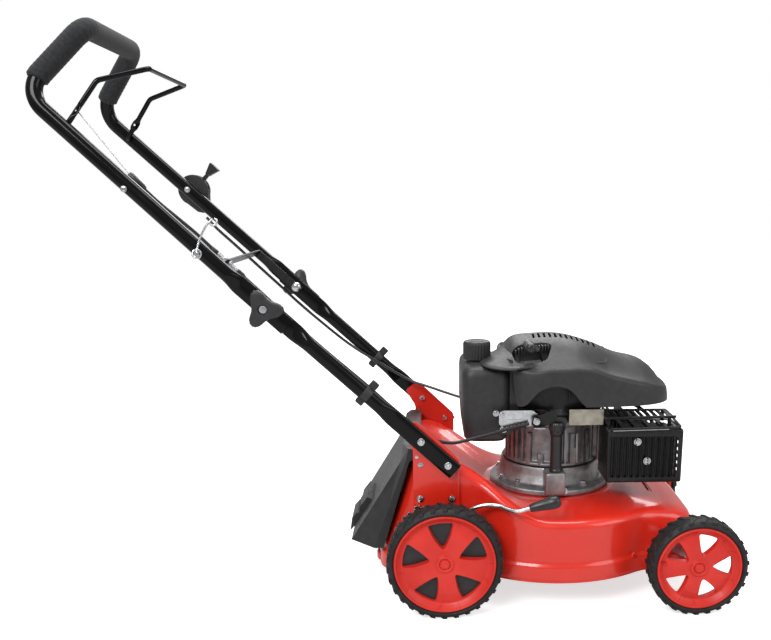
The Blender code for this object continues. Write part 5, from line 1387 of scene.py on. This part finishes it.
def build_tank():
    low, high = Vector((0.031, -0.089, 0.246)), Vector((0.109, 0.082, 0.372))
    levels = mm((246, -10), (247.5, -4), (252, -0.5), (260, 0), (300, 0), (352, 0), (360, -1), (366, -4.2),
                (370, -10), (372, -18))
    rings = []
    for z, grow in levels:
        taper = 0.004 * smoothstep((0.3 - z) / 0.06)
        corners = [(low.x - grow + taper, low.y - grow), (high.x + grow - taper * 0.8, low.y - grow),
                   (high.x + grow - taper * 0.8, high.y + grow), (low.x - grow + taper, high.y + grow)]
        outline = rounded_loop(corners, 0.02, 8)
        rings.append([Vector((x, y, z)) for x, y in outline])
    tank = solid(lofted(rings))
    neck = Vector((CAP.x, CAP.y, 0.36))
    joined(tank, rod(neck, neck + Vector((0, 0, 0.029)), 0.0165, 48))
    carved(tank, box((0.0385, -0.082, 0.252), (0.102, 0.075, 0.3665), 0.01, 4))
    carved(tank, rod(neck, neck + Vector((0, 0, 0.05)), 0.0135, 48))
    piece("tank_shell", tank, COWL_PLASTIC, "chassis", ["fuel_tank"], bevel=0.0012, steps=3, angle=32)
    foot = [box((0.09, -0.092, 0.26), (0.112, -0.086, 0.272), 0.002, 2),
            box((0.09, 0.079, 0.26), (0.112, 0.085, 0.272), 0.002, 2)]
    piece("tank_lugs", merged(*foot), COWL_PLASTIC, "chassis")
    screws("tank_screws", [(Vector((0.0985, -0.0921, 0.27)), (0, -1, 0))], 0.0046, 0.0034, "chassis")


def build_cap():
    base = Vector((CAP.x, CAP.y, 0.3735))

    def grips(radius, height, angle):
        if radius > 0.0215 and 0.002 < height < 0.0275:
            return radius - 0.0011 * (0.5 + 0.5 * cos(angle * 26)) ** 2
        return radius

    outline = rounded_profile(mm((0, 16.5), (17.2, 16.5), (17.2, 0), (22.2, 0), (23, 2.2), (23, 26.2),
                                 (21.4, 30), (16, 31.2), (15.5, 30.2), (11, 30), (10.5, 30.8), (0, 31.2)),
                              0.0012, 3)
    piece("tank_cap", turned(outline, base, segments=208, wobble=grips), COWL_PLASTIC, "fuel_cap",
          ["fuel_cap"], smooth=40)


PROFILE = mm((99, 384), (119, 405), (149, 410.5), (200, 410.5), (252, 397), (290, 381), (347, 362),
             (387, 308))


def cowl_height(x):
    """The cowl's long profile, drawn smooth."""
    points = [Vector((a, b, 0)) for a, b in PROFILE]
    if x <= points[0].x:
        return points[0].y
    for i in range(len(points) - 1):
        if x <= points[i + 1].x:
            p0 = points[max(i - 1, 0)]
            p1, p2 = points[i], points[i + 1]
            p3 = points[min(i + 2, len(points) - 1)]
            m1 = (p2.y - p0.y) / (p2.x - p0.x)
            m2 = (p3.y - p1.y) / (p3.x - p1.x)
            h = p2.x - p1.x
            t = (x - p1.x) / h
            return (p1.y * (1 + 2 * t) * (1 - t) ** 2 + m1 * h * t * (1 - t) ** 2
                    + p2.y * t * t * (3 - 2 * t) + m2 * h * t * t * (t - 1))
    return points[-1].y


def cowl_edge(angle):
    power = 3.6
    reach = 0.191 if cos(angle) > 0 else 0.09
    return ((abs(cos(angle)) / reach) ** power + (abs(sin(angle)) / 0.118) ** power) ** (-1 / power)


CREASE = mm((80, 352), (114, 360), (130, 367.5), (165, 373.5), (215, 375.5), (234, 374), (252, 368),
            (270, 361.5), (300, 354), (330, 347), (352, 338), (400, 300))


def crease_height(x):
    """Height of the edge where the cowl's top turns into its side."""
    for (x0, z0), (x1, z1) in zip(CREASE, CREASE[1:]):
        if x <= x1:
            break
    return z0 + (z1 - z0) * min(max((x - x0) / (x1 - x0), 0), 1)


def cowl_top(x, y):
    high = cowl_height(x)
    low = min(crease_height(x), high - 0.002)
    v = min(abs(y) / 0.11, 1.0)
    domed = v ** 2.5
    scooped = smoothstep((v - 0.1) / 0.8)
    share = smoothstep((x - 0.215) / 0.055)
    return high - (high - low) * (domed + (scooped - domed) * share)


def cowl_section(angle):
    edge = cowl_edge(angle)
    x, y = ENGINE_X + edge * cos(angle), edge * sin(angle)
    ring = []
    for k in range(1, 23):
        share = 0.945 * k / 22
        ring.append((edge * share, cowl_top(ENGINE_X + (x - ENGINE_X) * share, y * share)))
    crown = ring[-1][1]
    over_tank = smoothstep((0.106 - abs(y)) / 0.012) * smoothstep((0.13 - x) / 0.01)
    bottom = 0.311 + 0.064 * over_tank
    shoulder = [(edge * 0.945, crown), (edge * 0.99, max(crown - 0.0045, bottom + 0.01)),
                (edge + 0.0004, max(crown - 0.02, bottom + 0.005)), (edge + 0.0006, bottom)]
    return ring[:-1] + rounded_profile(shoulder, [0, 0.006, 0.008, 0], 6)


def build_cowl():
    segments = 216
    angles = full_turn(segments)
    sections = [cowl_section(a) for a in angles]
    bm = bmesh.new()
    rings = round_engine(sections, angles)
    loops = skin(bm, rings, caps=False)
    top = bm.verts.new((ENGINE_X, 0, cowl_top(ENGINE_X, 0)))
    for i in range(segments):
        bm.faces.new((loops[0][i], loops[0][(i + 1) % segments], top))
    cowl = solid(bm)
    walled(cowl, SHEET)
    carved(cowl, prism(recess_outline(), 0.36, 0.43, "Z"))
    arch = mm((120, 290), (125, 310.8), (134, 315), (143, 327), (155, 339), (170, 344.8), (185, 345.2),
              (199, 341), (210, 331.8), (218.5, 319.5), (229, 310.6), (233, 290))
    carved(cowl, prism(rounded_loop(arch, 0.008, 6), -0.15, -0.08))
    for k in range(12):
        x = 0.15 + 0.0092 * k
        slot = rounded_loop([(x + 0.0022, 0.008), (x + 0.0062, 0.008), (x + 0.004, -0.03), (x, -0.03)],
                            0.0018, 3)
        carved(cowl, prism(slot, 0.36, 0.43, "Z"))
    piece("cowl_shell", cowl, COWL_PLASTIC, "chassis", ["blower_housing"], bevel=0.0007, steps=2, angle=38)
    tongue = solid(cowl_tongue())
    carved(tongue, prism(recess_outline(), 0.36, 0.43, "Z"))
    piece("cowl_tongue", tongue, COWL_PLASTIC, "chassis", bevel=0.0004, steps=2)
    crest = rounded_loop(mm((276, 0), (270, -62), (248, -84), (246, -82.8), (268, -60), (274, 0), (268, 60),
                            (246, 82.8), (248, 84), (270, 62)), 0.01, 5)
    rings = [[Vector((x, y, cowl_top(x, y) + lift)) for x, y in crest] for lift in (-0.001, 0.0009)]
    ridge = lofted(rings)
    piece("cowl_step", ridge, COWL_PLASTIC, "chassis", bevel=0.0004, steps=2)
    build_recess()
    build_blower_base()


def cowl_tongue():
    """The lip that runs from the cowl over the fuel tank."""
    outer = smooth_route(mm((80, 20, 0), (66.5, -28, 0), (61.5, -60, 0), (66.5, -86, 0), (78, -101.5, 0),
                            (93, -109.5, 0), (106, -113, 0), (115, -114, 0)), 0.004)
    inner = smooth_route(mm((108, 10, 0), (106, -20, 0), (108, -45, 0), (112, -62, 0), (120, -80, 0),
                            (130, -92, 0), (142, -100, 0), (150, -104, 0)), 0.004)
    count = 40
    rows, under = [], []
    for k in range(count + 1):
        a = outer[round(k * (len(outer) - 1) / count)]
        b = inner[round(k * (len(inner) - 1) / count)]
        row, low = [], []
        foot = cowl_top(b.x, b.y) - 0.0004
        edge = 0.376 - 0.002 * smoothstep((k / count - 0.5) / 0.4)
        for i in range(13):
            t = i / 12
            place = a.lerp(b, t)
            drop = 0.0022 * (1 - smoothstep(t / 0.1))
            height = edge + (foot - edge) * t ** 1.25 - drop
            row.append(Vector((place.x, place.y, height)))
            low.append(Vector((place.x, place.y, height - 0.0024 + drop * 0.3)))
        rows.append(row)
        under.append(low)
    rings = [row + list(reversed(low)) for row, low in zip(rows, under)]
    bm = lofted(rings)
    return bm


def recess_outline():
    return rounded_loop(mm((118, -98.5), (166, -98.5), (174, -76), (178, -60), (166, -53), (122, -53),
                           (112, -62), (114, -82)), 0.01, 6)


def build_recess():
    """The pocket that holds the starter grip, with the vent bars along its far rim."""
    outline = recess_outline()
    rings = []
    for scale, drop in ((1.02, 0.002), (0.99, 0.006), (0.94, 0.02), (0.86, 0.027), (0.6, 0.029)):
        ring = []
        for x, y in outline:
            px, py = 0.143 + (x - 0.143) * scale, -0.076 + (y + 0.076) * scale
            ring.append(Vector((px, py, max(cowl_top(px, py) - drop, 0.356))))
        rings.append(ring)
    bm = bmesh.new()
    loops = skin(bm, rings, caps=False)
    bm.faces.new(loops[-1])
    well = solid(bm)
    walled(well, 0.0012, 0)
    piece("recess_well", well, SMOOTH_PLASTIC, "chassis")
    bars = []
    for k in range(12):
        x = 0.118 + 0.0048 * k
        top = cowl_top(x, -0.058)
        bars.append(box((x, -0.068, top - 0.011), (x + 0.0022, -0.056, top - 0.0012), 0.0006, 2))
    piece("recess_bars", merged(*bars), COWL_PLASTIC, "chassis")


def build_blower_base():
    """Dark inner housing that closes the space behind the cowl's arch and beside the tank."""
    wall = arc((ENGINE_X, 0), 0.0852, 196, 350, 48) + arc((ENGINE_X, 0), 0.0832, 350, 196, 48)
    inner = solid(prism(wall, 0.3, 0.35, "Z"))
    seam = mm((204.5, -85), (206.1, -85), (206.1, -81), (204.5, -81))
    joined(inner, prism(seam, 0.3105, 0.342, "Z"))
    piece("blower_inner_wall", inner, HEATPROOF, "chassis", bevel=0.0004, steps=2)
    ring = solid(turned(mm((76.5, 279), (99, 300), (99, 302.4), (76.5, 281.4)), shaft(0), segments=96))
    carved(ring, box((FILLER.x - 0.019, -0.116, 0.27), (FILLER.x + 0.019, -0.085, 0.32), 0.004, 3))
    piece("blower_base", ring, HEATPROOF, "chassis")
    web = rounded_loop(mm((108.6, 264), (124, 264), (124, 310), (119, 356), (108.6, 370)), 0.003, 3)
    piece("tank_web", prism(web, -0.079, -0.076), SMOOTH_PLASTIC, "chassis", bevel=0.0005, steps=2)


def build_starter():
    grip = Vector((0.138, -0.09, 0.405))
    pull = Vector((-0.9, -0.06, 0.432)).normalized()
    outline = rounded_profile(mm((0, -26), (5.8, -25.5), (8.4, -20), (7.2, -8), (8, 0), (7.2, 8), (8.4, 20),
                                 (5.8, 25.5), (0, 26)), 0.004, 4)
    bar = solid(turned(outline, grip, (0, 1, 0), 40))
    joined(bar, turned(mm((0, 0), (4.6, 0), (5.6, 4), (6.2, 16), (0, 16)), grip - pull * 0.016, pull, 32))
    piece("pull_grip", bar, SMOOTH_PLASTIC, "starter_handle", ["starter_handle"], bevel=0.0008, steps=2,
          angle=40)
    start = Vector((ENGINE_X - 0.01, -0.024, 0.3465))
    end = grip - pull * 0.0165
    start = start + (end - start).normalized() * 0.01
    rope = piece("pull_rope", tube(evenly([start, end], 0.002), 0.0015, 14), JACKET, None, ["starter_rope"])
    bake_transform(rope)


def build_filler():
    base = Vector((FILLER.x, FILLER.y, 0.2003))
    outline = rounded_loop(mm((6, 0), (10.8, 0), (10.8, 3), (9.6, 5), (9.2, 60), (11.2, 64), (11.2, 68),
                              (6, 68)), 0.0008, 3)
    piece("filler_pipe", turned(outline, base, segments=48), SMOOTH_PLASTIC, "chassis", ["oil_filler_tube"])
    base = Vector((FILLER.x, FILLER.y, 0.2686))
    outline = rounded_profile(mm((0, -56), (2.2, -56), (2.2, 0), (12.4, 0), (12.8, 10), (10.5, 15),
                                 (0, 15.8)), 0.0014, 3)

    def grips(radius, height, angle):
        return radius - (0.0006 * (0.5 + 0.5 * cos(angle * 18)) if radius > 0.012 else 0.0)

    cap = solid(turned(outline, base, segments=108, wobble=grips))
    wing = rounded_loop(mm((-15, 7.5), (15, 7.5), (16.5, 20), (7, 23.5), (-7, 23.5), (-16.5, 20)), 0.005, 5)
    joined(cap, prism([(base.x + a, base.z + b) for a, b in wing], base.y - 0.003, base.y + 0.003))
    piece("dipstick_cap", cap, SMOOTH_PLASTIC, "dipstick", ["dipstick"], bevel=0.0008, steps=3, angle=40)


def build_controls():
    plate = rounded_loop(mm((90, 280), (96, 276), (142, 277.5), (154, 283), (154, 295), (144, 303),
                            (96, 303), (90, 299)), 0.004, 4)
    control = solid(prism(plate, -0.1018, -0.1))
    joined(control, box((0.114, -0.1012, 0.2763), (0.153, -0.06, 0.278), 0.0004, 1))
    joined(control, prism(rounded_loop(mm((100, 285), (129, 285), (129, 287.8), (100, 287.8)), 0.0012, 3),
                          -0.1028, -0.101))
    piece("control_bracket", control, BRIGHT, "chassis", ["control_plate"], bevel=0.0005, steps=2)
    screws("control_screws", [(Vector((0.085, -0.101, 0.2985)), (0, -1, 0)),
                              (Vector((0.0955, -0.102, 0.296)), (0, -1, 0))], 0.0038, 0.003, "chassis")
    clamp = [(Vector((0.149, -0.1165, 0.288)), (0, -1, 0))]
    nuts("cable_clamp_nut", clamp, 0.009, 0.0046, "chassis", STUD)
    saddle = rod((0.149, -0.1015, 0.288), (0.149, -0.1166, 0.288), 0.0062, 28, 0.0008)
    piece("cable_clamp", saddle, HEATPROOF, "chassis")
    body = rounded_loop(mm((142, 279), (156, 276), (170, 279), (182, 286), (184, 298), (176, 304),
                           (164, 298.5), (156, 296), (144, 296)), 0.004, 4)
    piece("brake_arm", prism(body, -0.106, -0.1024), HEATPROOF, "chassis", bevel=0.0008)
    pivot = Vector((0.15, -0.111, 0.2835))
    arm = arc((pivot.x, pivot.y), 0.007, 100, 260, 16)
    arm += [(pivot.x + 0.013, pivot.y - 0.007), (pivot.x + 0.017, pivot.y - 0.003),
            (pivot.x + 0.014, pivot.y + 0.001)]
    piece("brake_pull_lever", prism(arm, pivot.z - 0.008, pivot.z - 0.0055, "Z"), ZINC, "brake_lever",
          ["brake_lever"], bevel=0.0004)
    shield = solid(prism(rounded_loop(mm((204, 277.2), (260, 277.2), (260, 303), (204, 303)), 0.0015, 3),
                         -0.0985, -0.097))
    joined(shield, box((0.206, -0.098, 0.2763), (0.23, -0.06, 0.2778), 0.0004, 1))
    piece("heat_plate", shield, PASSIVATED, "chassis", ["heat_shield"], bevel=0.0005, steps=2)


def build_air_filter():
    case = solid(box((0.17, 0.1185, 0.23), (0.29, 0.156, 0.296), 0.008, 5))
    piece("filter_case", case, BLACK_PLASTIC, "chassis", ["air_filter_box"], bevel=0.0006, steps=2)
    lid = solid(box((0.169, 0.153, 0.229), (0.291, 0.169, 0.297), 0.007, 5))
    for k in range(5):
        z = 0.244 + 0.009 * k
        joined(lid, box((0.185, 0.166, z), (0.275, 0.1702, z + 0.003), 0.001, 2))
    joined(lid, box((0.22, 0.156, 0.293), (0.24, 0.168, 0.301), 0.002, 2))
    piece("filter_lid", lid, COWL_PLASTIC, "chassis", bevel=0.0006, steps=2)


build_sump()
build_block()
build_head()
build_guard()
build_tank()
build_cap()
build_cowl()
build_starter()
build_filler()
build_controls()
build_air_filter()


# ---------------------------------------------------------------- carried-over CAD nodes


def dress_nodes():
    special = {"blade": BLADE_STEEL, "blade_adapter": BLADE_STEEL, "flywheel": CAST}
    slots = {entry["node"]: entry["material_slot"] for entry in frame["record"]["subparts"]}
    for name, obj in frame["nodes"].items():
        if obj.hide_render:
            continue
        surface = special.get(name, SLOT_LOOKS[slots[name]])
        obj.data.materials.clear()
        obj.data.materials.append(surface)


dress_nodes()


# ---------------------------------------------------------------- stage


def build_stage():
    bm = bmesh.new()
    bmesh.ops.create_grid(bm, x_segments=1, y_segments=1, size=30)
    floor = solid(bm, "floor")
    paper = bpy.data.materials.new("floor_paper")
    paper.use_nodes = True
    tree = paper.node_tree
    shader = tree.nodes["Principled BSDF"]
    put(shader, {"Base Color": (0.8, 0.8, 0.8, 1), "Roughness": 0.9, "Specular IOR Level": 0.0,
                 "Emission Color": (1, 1, 1, 1), "Emission Strength": 0.66})
    bounce = node(tree, "ShaderNodeBsdfDiffuse")
    put(bounce, {"Color": (0.62, 0.62, 0.62, 1)})
    blend = node(tree, "ShaderNodeMixShader")
    tree.links.new(node(tree, "ShaderNodeLightPath").outputs["Is Camera Ray"], blend.inputs["Fac"])
    tree.links.new(bounce.outputs["BSDF"], blend.inputs[1])
    tree.links.new(shader.outputs["BSDF"], blend.inputs[2])
    tree.links.new(blend.outputs["Shader"], tree.nodes["Material Output"].inputs["Surface"])
    floor.data.materials.append(paper)


def area_light(name, place, aim, size, power, colour=(1, 1, 1)):
    data = bpy.data.lights.new(name, "AREA")
    data.shape = "RECTANGLE"
    data.size, data.size_y = size
    data.energy = power
    data.color = colour
    made = bpy.data.objects.new(name, data)
    made.location = place
    made.rotation_euler = (Vector(aim) - Vector(place)).to_track_quat("-Z", "Y").to_euler()
    bpy.context.scene.collection.objects.link(made)


def build_light():
    """White surroundings to look at that light the scene only gently, and four soft boxes."""
    world = bpy.data.worlds.new("studio")
    world.use_nodes = True
    tree = world.node_tree
    background = tree.nodes["Background"]
    put(background, {"Color": (1, 1, 1, 1)})
    seen = node(tree, "ShaderNodeLightPath").outputs["Is Camera Ray"]
    tree.links.new(remap(tree, seen, 0.42, 1.0, 0.0, 1.0), background.inputs["Strength"])
    bpy.context.scene.world = world
    area_light("key", (-1.4, -2.6, 2.6), (0, 0, 0.3), (1.8, 1.2), 88)
    area_light("fill", (2.4, -1.6, 1.6), (0.1, 0, 0.3), (1.6, 1.6), 22)
    area_light("top", (0.1, 0.3, 3.0), (0.1, 0, 0.2), (2.2, 1.4), 62)
    area_light("back", (0.4, 2.6, 2.0), (0, 0, 0.3), (2.0, 1.0), 30)
    bpy.context.scene.view_settings.view_transform = "Standard"


build_stage()
build_light()
